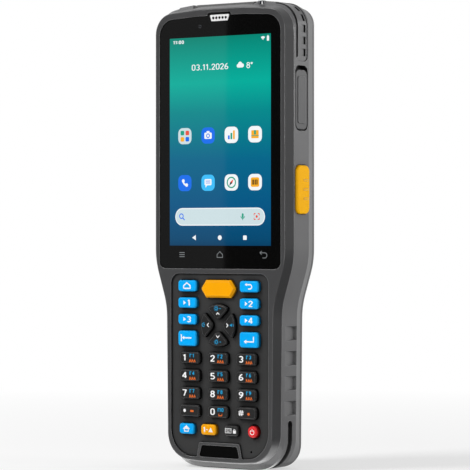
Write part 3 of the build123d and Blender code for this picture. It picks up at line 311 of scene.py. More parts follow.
# Skin of a moulding: grain relief, faint clouding of the colour, a painted highlight along the
# edges and painted shade in grooves and gaps.
skin, skin_in, skin_out = new_group(
    "moulded_skin",
    [
        ("Colour", "NodeSocketColor", (0.1, 0.1, 0.1, 1)),
        ("Edge Colour", "NodeSocketColor", (0.2, 0.2, 0.2, 1)),
        ("Roughness", "NodeSocketFloat", 0.5),
        ("Grain Scale", "NodeSocketFloat", 3500.0),
        ("Grain Depth", "NodeSocketFloat", 0.3),
        ("Edge Round", "NodeSocketFloat", 0.00015),
        ("Crevice", "NodeSocketFloat", 0.7),
    ],
    [
        ("Colour", "NodeSocketColor"),
        ("Roughness", "NodeSocketFloat"),
        ("Normal", "NodeSocketVector"),
    ],
)
skin_place = skin.nodes.new("ShaderNodeTexCoord")
skin_link = skin.links.new
grain = add_node(skin, "ShaderNodeTexNoise", Detail=2.0, Roughness=0.6)
skin_link(skin_place.outputs["Object"], grain.inputs["Vector"])
skin_link(skin_in.outputs["Grain Scale"], grain.inputs["Scale"])
cloud = add_node(skin, "ShaderNodeTexNoise", Scale=70.0, Detail=3.0)
skin_link(skin_place.outputs["Object"], cloud.inputs["Vector"])
cloud_share = spread(skin, cloud.outputs["Fac"], (0.35, 0.65), (0.975, 1.025))
clouded = skin.nodes.new("ShaderNodeVectorMath")
clouded.operation = "SCALE"
skin_link(skin_in.outputs["Colour"], clouded.inputs[0])
skin_link(cloud_share, clouded.inputs["Scale"])
rounded = skin.nodes.new("ShaderNodeBevel")
rounded.samples = 6
skin_link(skin_in.outputs["Edge Round"], rounded.inputs["Radius"])
flat = skin.nodes.new("ShaderNodeNewGeometry")
edge_dot = skin.nodes.new("ShaderNodeVectorMath")
edge_dot.operation = "DOT_PRODUCT"
skin_link(rounded.outputs["Normal"], edge_dot.inputs[0])
skin_link(flat.outputs["Normal"], edge_dot.inputs[1])
# Painted highlight: where the rounded normal turns from the flat one, the colour goes to the edge
# colour.
highlight_mask = spread(skin, edge_dot.outputs["Value"], (0.99, 0.85), (0.0, 0.85))
highlighted = mixed(skin, highlight_mask, clouded.outputs["Vector"], skin_in.outputs["Edge Colour"])
# Painted shade: an occlusion test darkens grooves and gaps towards near black.
# Open faces see the room, so only grooves and gaps fall below the upper bound of the mask.
shelter = add_node(skin, "ShaderNodeAmbientOcclusion", Distance=0.0035)
shelter.samples = 6
shelter_mask = spread(skin, shelter.outputs["AO"], (0.55, 0.9), (1.0, 0.0))
painted_shade_mask = product(skin, shelter_mask, skin_in.outputs["Crevice"])
# Near black of the painted shade.
painted_shade_colour = (0.002, 0.002, 0.002, 1)
skin_link(mixed(skin, painted_shade_mask, highlighted, painted_shade_colour), skin_out.inputs["Colour"])
rough_share = spread(skin, grain.outputs["Fac"], (0.3, 0.7), (0.9, 1.12))
rough = product(skin, rough_share, skin_in.outputs["Roughness"])
skin_link(rough, skin_out.inputs["Roughness"])
relief = add_node(skin, "ShaderNodeBump", Distance=0.00003)
skin_link(skin_in.outputs["Grain Depth"], relief.inputs["Strength"])
skin_link(grain.outputs["Fac"], relief.inputs["Height"])
skin_link(rounded.outputs["Normal"], relief.inputs["Normal"])
skin_link(relief.outputs["Normal"], skin_out.inputs["Normal"])


def moulded(
    name,
    colour,
    highlight_colour,
    roughness,
    grain_scale=3500.0,
    grain_depth=0.3,
    specular=0.25,
    edge=0.0002,
    painted_shade=0.7,
):
    """Plastic or rubber moulding with the grained skin. Colours are screen levels.

    The edge colour is a painted highlight, and the last argument sets the painted shade in grooves.
    """
    material, tree, shader = new_material(name)
    cover = tree.nodes.new("ShaderNodeGroup")
    cover.node_tree = skin
    set_inputs(
        cover,
        Colour=tone(*colour),
        Edge_Colour=tone(*highlight_colour),
        Roughness=roughness,
        Grain_Scale=grain_scale,
        Grain_Depth=grain_depth,
        Edge_Round=edge,
        Crevice=painted_shade,
    )
    tree.links.new(cover.outputs["Colour"], shader.inputs["Base Color"])
    tree.links.new(cover.outputs["Roughness"], shader.inputs["Roughness"])
    tree.links.new(cover.outputs["Normal"], shader.inputs["Normal"])
    set_inputs(shader, Specular_IOR_Level=specular)
    return material


def dress(material, *names):
    """Gives CAD nodes a material."""
    for name in names:
        nodes[name].data.materials[0] = material


# Surface of a plated or machined metal: drawn streaks in its roughness and a slight tarnish.
drawn, drawn_in, drawn_out = new_group(
    "drawn_metal",
    [
        ("Colour", "NodeSocketColor", (0.6, 0.6, 0.6, 1)),
        ("Tarnish", "NodeSocketColor", (0.4, 0.4, 0.4, 1)),
        ("Roughness", "NodeSocketFloat", 0.3),
    ],
    [
        ("Colour", "NodeSocketColor"),
        ("Roughness", "NodeSocketFloat"),
        ("Height", "NodeSocketFloat"),
    ],
)
drawn_link = drawn.links.new
drawn_place = drawn.nodes.new("ShaderNodeTexCoord")
drawn_map = add_node(drawn, "ShaderNodeMapping", Scale=(6000, 6000, 300))
drawn_link(drawn_place.outputs["Object"], drawn_map.inputs["Vector"])
streaks = add_node(drawn, "ShaderNodeTexNoise", Scale=1.0, Detail=2.0)
drawn_link(drawn_map.outputs["Vector"], streaks.inputs["Vector"])
spots = add_node(drawn, "ShaderNodeTexNoise", Scale=400.0, Detail=3.0)
drawn_link(drawn_place.outputs["Object"], spots.inputs["Vector"])
spot_mask = spread(drawn, spots.outputs["Fac"], (0.45, 0.75), (0.0, 0.5))
tarnished = mixed(drawn, spot_mask, drawn_in.outputs["Colour"], drawn_in.outputs["Tarnish"])
drawn_link(tarnished, drawn_out.inputs["Colour"])
streak_share = spread(drawn, streaks.outputs["Fac"], (0.3, 0.7), (0.75, 1.3))
drawn_rough = product(drawn, streak_share, drawn_in.outputs["Roughness"])
drawn_link(drawn_rough, drawn_out.inputs["Roughness"])
drawn_link(streaks.outputs["Fac"], drawn_out.inputs["Height"])


def metal(name, colour, tarnish, roughness):
    """Bare or plated metal. Colours are screen levels."""
    material, tree, shader = new_material(name)
    surface = tree.nodes.new("ShaderNodeGroup")
    surface.node_tree = drawn
    set_inputs(surface, Colour=tone(*colour), Tarnish=tone(*tarnish), Roughness=roughness)
    bump = add_node(tree, "ShaderNodeBump", Strength=0.15, Distance=0.00002)
    tree.links.new(surface.outputs["Colour"], shader.inputs["Base Color"])
    tree.links.new(surface.outputs["Roughness"], shader.inputs["Roughness"])
    tree.links.new(surface.outputs["Height"], bump.inputs["Height"])
    tree.links.new(bump.outputs["Normal"], shader.inputs["Normal"])
    set_inputs(shader, Metallic=1.0)
    return material


dress(metal("cast_magnesium", (150, 152, 155), (110, 112, 114), 0.45), "mid_frame")

board, board_tree, board_shader = new_material("solder_mask")
board_link = board_tree.links.new
board_place = board_tree.nodes.new("ShaderNodeTexCoord")
board_turn = add_node(board_tree, "ShaderNodeMapping", Rotation=(pi / 2, 0, 0))
traces = add_node(
    board_tree,
    "ShaderNodeTexBrick",
    Color1=tone(20, 92, 52),
    Color2=tone(26, 104, 60),
    Mortar=tone(48, 140, 86),
    Scale=260.0,
    Mortar_Size=0.06,
)
board_bump = add_node(board_tree, "ShaderNodeBump", Strength=0.2, Distance=0.00003)
board_link(board_place.outputs["Object"], board_turn.inputs["Vector"])
board_link(board_turn.outputs["Vector"], traces.inputs["Vector"])
board_link(traces.outputs["Color"], board_shader.inputs["Base Color"])
board_link(traces.outputs["Fac"], board_bump.inputs["Height"])
board_link(board_bump.outputs["Normal"], board_shader.inputs["Normal"])
set_inputs(board_shader, Roughness=0.35)
dress(board, "main_board", "keypad_board")
silicone_mat = moulded("silicone_mat", (150, 152, 150), (185, 186, 185), 0.6, grain_depth=0.1)
dress(silicone_mat, "keypad_mat")

# ---- Rear housing, battery cover and port cover ----
# Three mouldings in the same mid-grey impact-resistant plastic, from a spark-eroded mould: a fine
# grain dulls the faces, and the edges catch the light on a tiny round, helped by a painted
# highlight.

grey_casing = moulded("grey_casing", (99, 99, 100), (160, 160, 161), 0.4, edge=0.0003, painted_shade=0.97)
dress(grey_casing, "rear_housing", "battery_cover")
cover_grey = moulded("cover_grey", (84, 84, 85), (146, 146, 147), 0.42, edge=0.0003, painted_shade=0.9)
dress(cover_grey, "io_cover")

# ---- Front housing and battery latch ----
# Charcoal moulding with the raised rim that guards the glass and frames the keypad.
# It carries the same grain, a little finer, and is screwed to the rear housing.

dark_casing = moulded(
    "dark_casing",
    (62, 62, 63),
    (140, 140, 141),
    0.32,
    grain_scale=4200.0,
    specular=0.4,
    edge=0.0004,
    painted_shade=0.9,
)
dress(dark_casing, "front_housing", "battery_latch")

# ---- Battery, contacts, screws and hinge pin ----
# The pack is a lithium cell in a matt shrink sleeve. Its contacts and those in the foot are gold
# on nickel, the screws, the socket shell and the hinge pin are plated steel.

dress(moulded("shrink_sleeve", (38, 42, 50), (70, 76, 86), 0.4, grain_depth=0.1), "battery_pack")
gold_plate = metal("gold_plate", (232, 190, 96), (190, 142, 60), 0.25)
dress(gold_plate, "battery_contacts", "charging_contacts")
nickel_steel = metal("nickel_steel", (176, 177, 180), (120, 121, 124), 0.3)
dress(nickel_steel, "housing_screws", "usb_socket", "io_cover_pin")

# ---- Keypad panel and bare plate ----
# Matt charcoal moulding with an opening for each key, bonded into the front housing.
# The plate below it is a bare gloss-black insert, in the black of the scan engine's face.

keypad_film = moulded(
    "keypad_film",
    (56, 56, 56),
    (104, 104, 104),
    0.55,
    grain_scale=5200.0,
    grain_depth=0.2,
    specular=0.12,
    painted_shade=0.95,
)
dress(keypad_film, "keypad_panel")
gloss_black = moulded(
    "gloss_black", (6, 6, 6), (36, 36, 36), 0.12, grain_depth=0.02, specular=0.03, painted_shade=0.2
)
dress(gloss_black, "blank_plate", "scan_engine")

# ---- Keys ----
# Hard key caps on the silicone mat: nine blue, two orange, one red and the rest black.
# Their legends are laser-cut through the top coat, thin marks in white, blue and orange.

blue_keys = ["home_key", "back_key", "p1_key", "p2_key", "p3_key", "p4_key"]
blue_keys += ["tab_key", "enter_key", "fn_key"]
number_keys = ["one_key", "two_key", "three_key", "four_key", "five_key", "six_key"]
number_keys += ["seven_key", "eight_key", "nine_key", "star_key", "zero_key", "hash_key"]
nav_keys = ["nav_up_key", "nav_left_key", "nav_down_key", "nav_right_key"]
blue_cap = moulded(
    "blue_cap", (0, 176, 255), (120, 222, 255), 0.3, grain_depth=0.06, specular=0.07, painted_shade=0.85
)
dress(blue_cap, *blue_keys)
orange_cap = moulded(
    "orange_cap", (255, 172, 0), (255, 226, 120), 0.3, grain_depth=0.06, specular=0.07, painted_shade=0.8
)
dress(orange_cap, "scan_key", "alpha_key")
black_cap = moulded(
    "black_cap", (38, 38, 38), (150, 150, 150), 0.33, grain_depth=0.1, specular=0.15, painted_shade=0.95
)
dress(black_cap, "lock_key", *number_keys, *nav_keys)
red_cap = moulded(
    "red_cap", (236, 40, 44), (255, 160, 160), 0.25, grain_depth=0.05, specular=0.12, painted_shade=0.8
)
dress(red_cap, "power_key")

mm = 0.001
ink_thickness = 0.02 * mm
coats = 5
coat_step = 0.002 * mm
key_face_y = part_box("one_key")[0].y


def coat(ink):
    """Height of the next stroke, so that strokes that cross don't share a plane."""
    return (len(ink.faces) % coats) * coat_step


def bar(ink, start, end, width):
    """Straight stroke between two points, in mm on the face of the key or the glass."""
    (x0, z0), (x1, z1) = start, end
    length = hypot(x1 - x0, z1 - z0) + 0.4 * width
    along = Vector((x1 - x0, z1 - z0, 0))
    height = coat(ink)
    strip = bmesh.ops.create_grid(ink, x_segments=1, y_segments=1, size=0.5)["verts"]
    bmesh.ops.scale(ink, vec=(length * mm, width * mm, 1), verts=strip)
    turn = Matrix.Rotation(Vector((1, 0, 0)).angle(along) * (1 if along.y >= 0 else -1), 4, "Z")
    place = Matrix.Translation(((x0 + x1) / 2 * mm, (z0 + z1) / 2 * mm, height))
    bmesh.ops.transform(ink, matrix=place @ turn, verts=strip)


def line(ink, points, width):
    """Chain of straight strokes."""
    for start, end in zip(points, points[1:]):
        bar(ink, start, end, width)


def arc(ink, centre, radius, width, start, sweep):
    """Round stroke from a start angle through a sweep, in degrees from the right."""
    turn = radians(start)
    height = coat(ink)
    ends = []
    for reach in (radius - width / 2, radius + width / 2):
        x, z = centre[0] + reach * cos(turn), centre[1] + reach * sin(turn)
        ends.append(ink.verts.new((x * mm, z * mm, height)))
    edge = ink.edges.new(ends)
    bmesh.ops.spin(
        ink,
        geom=[*ends, edge],
        cent=(centre[0] * mm, centre[1] * mm, 0),
        axis=(0, 0, 1),
        angle=radians(sweep),
        steps=max(4, round(abs(sweep) / 15)),
        use_merge=abs(sweep) == 360,
    )


def dot(ink, centre, radius):
    """Filled disc."""
    height = coat(ink)
    disc = bmesh.ops.create_circle(ink, cap_ends=True, segments=20, radius=radius * mm)["verts"]
    bmesh.ops.translate(ink, vec=(centre[0] * mm, centre[1] * mm, height), verts=disc)


def tile(ink, centre, width, height, corner):
    """Filled rectangle with round corners."""
    lift = coat(ink)
    patch = bmesh.ops.create_grid(ink, x_segments=1, y_segments=1, size=0.5)["verts"]
    bmesh.ops.scale(ink, vec=(width * mm, height * mm, 1), verts=patch)
    bmesh.ops.translate(ink, vec=(centre[0] * mm, centre[1] * mm, lift), verts=patch)
    if corner > 0:
        bmesh.ops.bevel(
            ink,
            geom=patch,
            offset=corner * mm,
            segments=5,
            profile=0.5,
            affect="VERTICES",
            material=-1,
        )


def blade(ink, *points):
    """Filled polygon."""
    height = coat(ink)
    ink.faces.new([ink.verts.new((x * mm, z * mm, height)) for x, z in points])


def figure(ink, sign, centre, unit, breadth, width):
    """One numeral or sign in strokes, four units tall, made broader by breadth."""
    own = bmesh.new()

    def chain(*points):
        line(own, [(x * unit, z * unit) for x, z in points], width)

    def bow(x, z, radius, start, sweep):
        arc(own, (x * unit, z * unit), radius * unit, width, start, sweep)

    if sign == "0":
        bow(0, 1, 1, 0, 180)
        bow(0, -1, 1, 180, 180)
        chain((-1, 1), (-1, -1))
        chain((1, 1), (1, -1))
    elif sign == "1":
        chain((-0.6, 1.3), (0.2, 2), (0.2, -2))
    elif sign == "2":
        bow(0, 1, 1, 180, -215)
        chain((0.82, 0.43), (-1, -2), (1, -2))
    elif sign == "3":
        bow(0, 1, 1, 150, -240)
        bow(0, -1, 1, 90, -240)
    elif sign == "4":
        chain((0.5, -2), (0.5, 2), (-1.2, -0.9), (1.1, -0.9))
    elif sign == "5":
        chain((0.9, 2), (-0.8, 2), (-0.9, 0.1))
        bow(-0.05, -0.85, 1.15, 130, -275)
    elif sign in "69":
        bow(0, -1, 1, 0, 360)
        chain((-1, -1), (-0.85, 0.3), (-0.2, 1.4), (0.6, 2))
        if sign == "9":
            bmesh.ops.rotate(own, matrix=Matrix.Rotation(pi, 3, "Z"), verts=own.verts)
    elif sign == "7":
        chain((-1, 2), (1, 2), (-0.3, -2))
    elif sign == "8":
        bow(0, 1.05, 0.9, 0, 360)
        bow(0, -0.98, 1.05, 0, 360)
    elif sign == "#":
        width *= 0.75
        for step in (-0.6, 0.6):
            chain((step - 0.2, -1.9), (step + 0.2, 1.9))
            chain((-1.5, 1.2 * step), (1.5, 1.2 * step))
    elif sign == "°":
        bow(-0.5, 1.4, 0.5, 0, 360)
    elif sign == ":":
        dot(own, (0, 0.9 * unit), 0.6 * width)
        dot(own, (0, -1.1 * unit), 0.6 * width)
    elif sign == ".":
        dot(own, (0, -1.9 * unit), 0.7 * width)
    place = Matrix.Translation((centre[0] * mm, centre[1] * mm, 0))
    broader = Matrix.Diagonal((breadth, 1, 1, 1))
    bmesh.ops.transform(own, matrix=place @ broader, verts=own.verts)
    part = bpy.data.meshes.new("figure")
    own.to_mesh(part)
    own.free()
    ink.from_mesh(part)
    bpy.data.meshes.remove(part)


def numeral(ink, signs, height, centre, width=0.3, breadth=1.2):
    """Row of numerals and plain signs, centred."""
    unit = (height - width) / 4
    narrow = {".": 0.55, ":": 0.55, "1": 0.75}
    spans = [narrow.get(sign, 1) * (2 * unit + 1.7 * width) * breadth for sign in signs]
    x = centre[0] - sum(spans) / 2
    for sign, span in zip(signs, spans):
        figure(ink, sign, (x + span / 2, centre[1]), unit, breadth, width)
        x += span


def print_on(name, ink, x, y, z, body, material):
    """Gives flat ink its thickness and lays it on a face that looks at the user."""
    walls = bmesh.ops.extrude_face_region(ink, geom=ink.faces[:])["geom"]
    raised = [part for part in walls if isinstance(part, bmesh.types.BMVert)]
    bmesh.ops.translate(ink, vec=(0, 0, ink_thickness), verts=raised)
    place = Matrix.Translation((x, y, z)) @ Matrix.Rotation(pi / 2, 4, "X")
    bmesh.ops.transform(ink, matrix=place, verts=ink.verts)
    piece = make_piece(name, ink)
    piece.data.materials.append(material)
    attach(piece, body)


def key_centre(name):
    """Middle of a key cap across and up, in metres."""
    low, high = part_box(name)
    return (low.x + high.x) / 2, (low.z + high.z) / 2


def print_ink(name, colour, highlight_colour):
    """Flat opaque ink."""
    return moulded(name, colour, highlight_colour, 0.5, grain_depth=0.05, edge=0, painted_shade=0)


inks = {
    "white": (print_ink("white_ink", (252, 252, 252), (255, 255, 255)), "silver"),
    "blue": (print_ink("blue_ink", (10, 160, 215), (60, 190, 235)), "key_blue"),
    "orange": (print_ink("orange_ink", (232, 108, 30), (245, 150, 70)), "key_orange"),
}


def legend(key, colour, ink):
    """Lays the ink of one colour on a key."""
    x, z = key_centre(key)
    material, slot = inks[colour]
    print_on(f"{key}_{colour}", ink, x, key_face_y, z, key, material)


# Number keys, all sizes in mm: a large white numeral on the left of each.
digit_height = 2.75
digit_shift = -2.5
digit_stroke = 0.44
small_height = 1.6
small_stroke = 0.32
digits = dict(zip(number_keys, "123456789"))
digits["zero_key"] = "0"
digits["hash_key"] = "#"
for key in number_keys:
    white = bmesh.new()
    if key == "star_key":
        dot(white, (digit_shift, 0.0), 0.68)
    else:
        place = (digit_shift, 0.05)
        numeral(white, digits[key], digit_height, place, width=digit_stroke, breadth=1.45)
    legend(key, "white", white)

    # Second and third legends: a flag and a numeral in blue, three short marks in orange.
    if key not in ("star_key", "hash_key"):
        blue = bmesh.new()
        bar(blue, (0.3, 0.25), (0.3, 1.6), 0.36)
        bar(blue, (0.3, 1.45), (1.0, 1.45), 0.3)
        small = "10" if key == "zero_key" else digits[key]
        numeral(blue, small, small_height, (2.05, 0.92), width=small_stroke, breadth=1.15)
        legend(key, "blue", blue)
    orange = bmesh.new()
    if key == "star_key":
        bar(orange, (0.6, -0.1), (2.0, -0.1), 0.8)
    elif key == "hash_key":
        dot(orange, (1.3, -0.3), 0.6)
    elif key == "zero_key":
        line(orange, [(0.7, -0.8), (0.7, -1.5), (2.3, -1.5), (2.3, -0.8)], small_stroke)
    else:
        for index in range(3):
            left = 0.05 + 1.15 * index
            bar(orange, (left, -1.8), (left + 0.3, -0.7), 0.36)
            bar(orange, (left + 0.3, -0.8), (left + 0.75, -1.75), 0.3)
    legend(key, "orange", orange)

# The navigation keys carry chevrons, with suns, a lamp and a loudspeaker sign beyond them.
nav_centre_z = (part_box("nav_down_key")[0].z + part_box("nav_up_key")[1].z) / 2 / mm


def nav_place(key, x, z):
    """Place on a navigation key, from a place round the middle of the four keys in mm."""
    centre_x, centre_z = key_centre(key)
    return x - centre_x / mm, z + nav_centre_z - centre_z / mm


chevron_reach = 0.75
chevron_stroke = 0.34
chevrons = {
    "nav_up_key": ((0.15, 4.9), (0, 1)),
    "nav_left_key": ((-4.9, 0.1), (-1, 0)),
    "nav_down_key": ((0.15, -4.6), (0, -1)),
    "nav_right_key": ((5.0, 0.1), (1, 0)),
}
for key, ((x, z), (right, up)) in chevrons.items():
    x, z = nav_place(key, x, z)
    white = bmesh.new()
    tip = (x + 0.5 * chevron_reach * right, z + 0.5 * chevron_reach * up)
    for side in (1, -1):
        end = (
            x - 0.5 * chevron_reach * right + side * chevron_reach * up,
            z - 0.5 * chevron_reach * up + side * chevron_reach * right,
        )
        bar(white, end, tip, chevron_stroke)
    legend(key, "white", white)

sun_rays = 8
ray_start, ray_end, ray_stroke = 0.95, 1.15, 0.2
for key, x, z in (("nav_up_key", -0.7, 7.0), ("nav_down_key", -0.6, -6.8)):
    x, z = nav_place(key, x, z)
    blue = bmesh.new()
    arc(blue, (x, z), 0.62, 0.26, 0, 360)
    for index in range(sun_rays):
        turn = index * 2 * pi / sun_rays
        inner = (x + ray_start * cos(turn), z + ray_start * sin(turn))
        outer = (x + ray_end * cos(turn), z + ray_end * sin(turn))
        bar(blue, inner, outer, ray_stroke)
    bar(blue, (x + 1.75, z), (x + 2.3, z), 0.3)
    legend(key, "blue", blue)
x, z = nav_place("nav_left_key", -7.1, 0.15)
blue = bmesh.new()
arc(blue, (x, z), 0.75, 0.26, 60, 240)
dot(blue, (x + 0.35, z), 0.28)
legend("nav_left_key", "blue", blue)
x, z = nav_place("nav_right_key", 7.3, 0.2)
blue = bmesh.new()
horn = [(-0.9, -0.3), (-0.4, -0.3), (0.1, -0.75), (0.1, 0.75), (-0.4, 0.3), (-0.9, 0.3)]
blade(blue, *[(x + right, z + up) for right, up in horn])
arc(blue, (x + 0.1, z), 0.65, 0.22, -50, 100)
legend("nav_right_key", "blue", blue)

# Signs of the blue keys: a house, a return bend, numbered marks, a stop arrow and an enter arrow.
stroke = 0.5
white = bmesh.new()
house = [(-1.7, -1.05), (1.7, -1.05), (1.7, 0.05), (0, 1.3), (-1.7, 0.05), (-1.7, -1.05)]
line(white, house, stroke)
legend("home_key", "white", white)
white = bmesh.new()
bar(white, (-1.0, 0.85), (0.7, 0.85), stroke)
arc(white, (0.7, -0.05), 0.9, stroke, 90, -180)
bar(white, (0.7, -0.95), (-0.1, -0.95), stroke)
blade(white, (-1.9, 0.85), (-0.9, 1.5), (-0.9, 0.2))
legend("back_key", "white", white)
for index in range(4):
    white = bmesh.new()
    blade(white, (-1.8, -0.9), (-0.5, 0), (-1.8, 0.9))
    numeral(white, str(index + 1), 2.6, (1.05, 0), width=digit_stroke, breadth=1.4)
    legend(f"p{index + 1}_key", "white", white)
white = bmesh.new()
bar(white, (-2.9, -1.2), (-2.9, 1.5), stroke)
bar(white, (-1.6, 0.2), (2.2, 0.2), stroke)
blade(white, (-2.5, 0.2), (-1.4, 0.95), (-1.4, -0.55))
legend("tab_key", "white", white)
white = bmesh.new()
line(white, [(-1.2, -0.7), (2.5, -0.7), (2.5, 1.3)], stroke)
blade(white, (-2.4, -0.7), (-1.1, 0.1), (-1.1, -1.5))
legend("enter_key", "white", white)

# The bottom row: an upward arrow, a number mark, a keyboard with a padlock, and the power sign.
white = bmesh.new()
line(white, [(-1.0, -0.1), (-1.0, -1.1), (1.0, -1.1), (1.0, -0.1)], 0.4)
blade(white, (-1.9, -0.15), (1.9, -0.15), (0, 1.45))
legend("fn_key", "white", white)
white = bmesh.new()
numeral(white, "1", 2.3, (-1.9, 0), width=0.45, breadth=1.3)
bar(white, (-0.9, 0), (-0.2, 0), 0.3)
blade(white, (0.2, -0.95), (2.5, -0.95), (1.35, 1.0))
legend("alpha_key", "white", white)
white = bmesh.new()
keyboard_x = -1.3
lock_x = 1.75
outline = [(-1.6, -0.85), (1.4, -0.85), (1.4, 0.95), (-1.6, 0.95), (-1.6, -0.85)]
line(white, [(keyboard_x + right, up) for right, up in outline], 0.2)
for row in range(2):
    for column in range(4):
        tile(white, (keyboard_x - 1.15 + 0.7 * column, 0.5 - 0.45 * row), 0.34, 0.24, 0)
bar(white, (keyboard_x - 0.8, -0.45), (keyboard_x + 0.6, -0.45), 0.24)
tile(white, (lock_x, -0.4), 1.5, 1.2, 0.2)
arc(white, (lock_x, 0.15), 0.48, 0.28, 0, 180)
legend("lock_key", "white", white)
white = bmesh.new()
arc(white, (0, -0.1), 0.95, 0.32, 125, 290)
bar(white, (0, 0.2), (0, 1.15), 0.32)
legend("power_key", "white", white)

# ---- Display and touch glass ----
# Cover glass with an opaque black border printed behind it. The lit display is bonded to its
# back, so the picture lies in the surface, and the thin marks are its pictograms.

window_half_width = 0.02592
window_half_height = 0.0432
window_z = 0.1354
glass_material, glass_tree, glass_shader = new_material("cover_glass")
glass_link = glass_tree.links.new
glass_place = glass_tree.nodes.new("ShaderNodeTexCoord")
glass_axes = glass_tree.nodes.new("ShaderNodeSeparateXYZ")
glass_link(glass_place.outputs["Object"], glass_axes.inputs[0])


def within(tree, value, middle_value, half_span):
    """1 where a value lies within half a span of its middle, else 0."""
    compare = tree.nodes.new("ShaderNodeMath")
    compare.operation = "COMPARE"
    compare.inputs[1].default_value = middle_value
    compare.inputs[2].default_value = half_span
    tree.links.new(value, compare.inputs[0])
    return compare.outputs[0]


in_width = within(glass_tree, glass_axes.outputs["X"], 0, window_half_width)
in_height = within(glass_tree, glass_axes.outputs["Z"], window_z, window_half_height)
on_front = within(glass_tree, glass_axes.outputs["Y"], glass_y, 0.0002)
in_window = product(glass_tree, in_width, in_height)
window = product(glass_tree, in_window, on_front)
window_ends = (window_z - window_half_height, window_z + window_half_height)
up_window = spread(glass_tree, glass_axes.outputs["Z"], window_ends)
picture = glass_tree.nodes.new("ShaderNodeValToRGB")
glass_link(up_window, picture.inputs["Fac"])
picture_stops = [
    (0.0, tone(0, 62, 100)),
    (0.03, tone(0, 72, 112)),
    (0.19, tone(0, 86, 132)),
    (0.41, tone(0, 102, 138)),
    (0.64, tone(0, 137, 140)),
    (0.78, tone(0, 173, 155)),
    (0.95, tone(0, 143, 127)),
    (1.0, tone(0, 132, 114)),
]
for place, colour in picture_stops[1:-1]:
    picture.color_ramp.elements.new(place).color = colour
picture.color_ramp.elements[0].color = picture_stops[0][1]
picture.color_ramp.elements[-1].color = picture_stops[-1][1]
lit = mixed(glass_tree, window, (0, 0, 0, 1), picture.outputs["Color"])
glass_link(lit, glass_shader.inputs["Emission Color"])
smears = add_node(glass_tree, "ShaderNodeTexNoise", Scale=45.0, Detail=3.0)
glass_link(glass_place.outputs["Object"], smears.inputs["Vector"])
smear_rough = spread(glass_tree, smears.outputs["Fac"], (0.3, 0.7), (0.02, 0.05))
glass_link(smear_rough, glass_shader.inputs["Roughness"])
set_inputs(glass_shader, Emission_Strength=1.0, Base_Color=(0.002, 0.002, 0.002, 1), IOR=1.5)
dress(glass_material, "touch_glass")
dress(moulded("display_back", (46, 48, 50), (90, 92, 94), 0.4, grain_depth=0.05), "lcd_panel")


def lit_mark(name, colour):
    """Lit part of the display: its light varies a little from dot to dot."""
    material, tree, shader = new_material(name)
    place = tree.nodes.new("ShaderNodeTexCoord")
    dots = add_node(tree, "ShaderNodeTexNoise", Scale=9000.0, Detail=0.0)
    tree.links.new(place.outputs["Object"], dots.inputs["Vector"])
    share = spread(tree, dots.outputs["Fac"], (0.2, 0.8), (0.94, 1.06))
    light = tree.nodes.new("ShaderNodeVectorMath")
    light.operation = "SCALE"
    light.inputs[0].default_value = tone(*colour)[:3]
    tree.links.new(share, light.inputs["Scale"])
    tree.links.new(light.outputs["Vector"], shader.inputs["Emission Color"])
    set_inputs(shader, Emission_Strength=1.0, Base_Color=(0.002, 0.002, 0.002, 1), Roughness=0.04)
    return material


lit_colours = {
    "white": lit_mark("lit_white", (244, 248, 250)),
    "pale": lit_mark("lit_pale", (206, 224, 228)),
    "blue": lit_mark("lit_blue", (20, 110, 236)),
    "sky": lit_mark("lit_sky", (60, 190, 250)),
    "teal": lit_mark("lit_teal", (30, 160, 130)),
    "amber": lit_mark("lit_amber", (250, 176, 40)),
    "coral": lit_mark("lit_coral", (234, 84, 66)),
    "black": lit_mark("lit_black", (20, 24, 28)),
    "grey": lit_mark("touch_grey", (128, 132, 134)),
}
layer_step = 0.01 * mm


def show(name, colour, ink, layer=1):
    """Lays one colour of the picture on the glass, in front of the layers below it."""
    y = glass_y - (layer - 1) * layer_step
    print_on(name, ink, 0, y, 0, "housing", lit_colours[colour])


# Status line: clock, signal and battery.
ink = bmesh.new()
numeral(ink, "11:00", 1.45, (-21.3, 176.9), width=0.28, breadth=1.35)
for radius, width in ((0.25, 0.5), (0.85, 0.5), (1.3, 0.4)):
    arc(ink, (22.0, 176.1), radius, width, 45, 90)
tile(ink, (24.5, 176.6), 1.1, 1.9, 0.2)
tile(ink, (24.5, 177.7), 0.5, 0.4, 0)
# Date, weather and temperature.
date_z = 166.1
numeral(ink, "03.11.2026", 2.5, (-5.0, date_z), width=0.33, breadth=1.35)
for x, z, radius in ((9.5, 166.0, 0.75), (10.5, 166.6, 1.05), (11.6, 166.1, 0.8)):
    dot(ink, (x, z), radius)
tile(ink, (10.55, 165.65), 2.9, 0.8, 0.35)
numeral(ink, "8°", 2.5, (15.6, date_z), width=0.33, breadth=1.25)
# Navigation marks along the lower edge.
mark_z = 95.5
blade(ink, (-14.2, mark_z), (-12.3, mark_z - 1.1), (-12.3, mark_z + 1.1))
dot(ink, (0.1, mark_z), 1.0)
tile(ink, (12.9, mark_z), 1.8, 1.8, 0.25)
show("status_marks", "white", ink)

# Eight pictograms in two rows, each on its rounded tile.
column_xs = (-18.0, -5.95, 6.03, 18.0)
row_zs = (137.75, 118.2)
tile_width = 6.9
tile_height = 6.7
tile_corner = 2.2
ground_colours = (("pale", "blue", "white", "white"), ("blue", "sky", "white", "white"))
for row, row_z in enumerate(row_zs):
    for column, column_x in enumerate(column_xs):
        ink = bmesh.new()
        tile(ink, (column_x, row_z), tile_width, tile_height, tile_corner)
        show(f"picture_ground_{row}{column}", ground_colours[row][column], ink)

# Folder of four small tiles.
x, z = column_xs[0], row_zs[0]
for colour, right, up in (("teal", -1, 1), ("coral", 1, 1), ("amber", -1, -1), ("blue", 1, -1)):
    ink = bmesh.new()
    tile(ink, (x + 1.3 * right, z + 1.3 * up), 1.9, 1.9, 0.5)
    show(f"folder_tile_{colour}", colour, ink, layer=2)
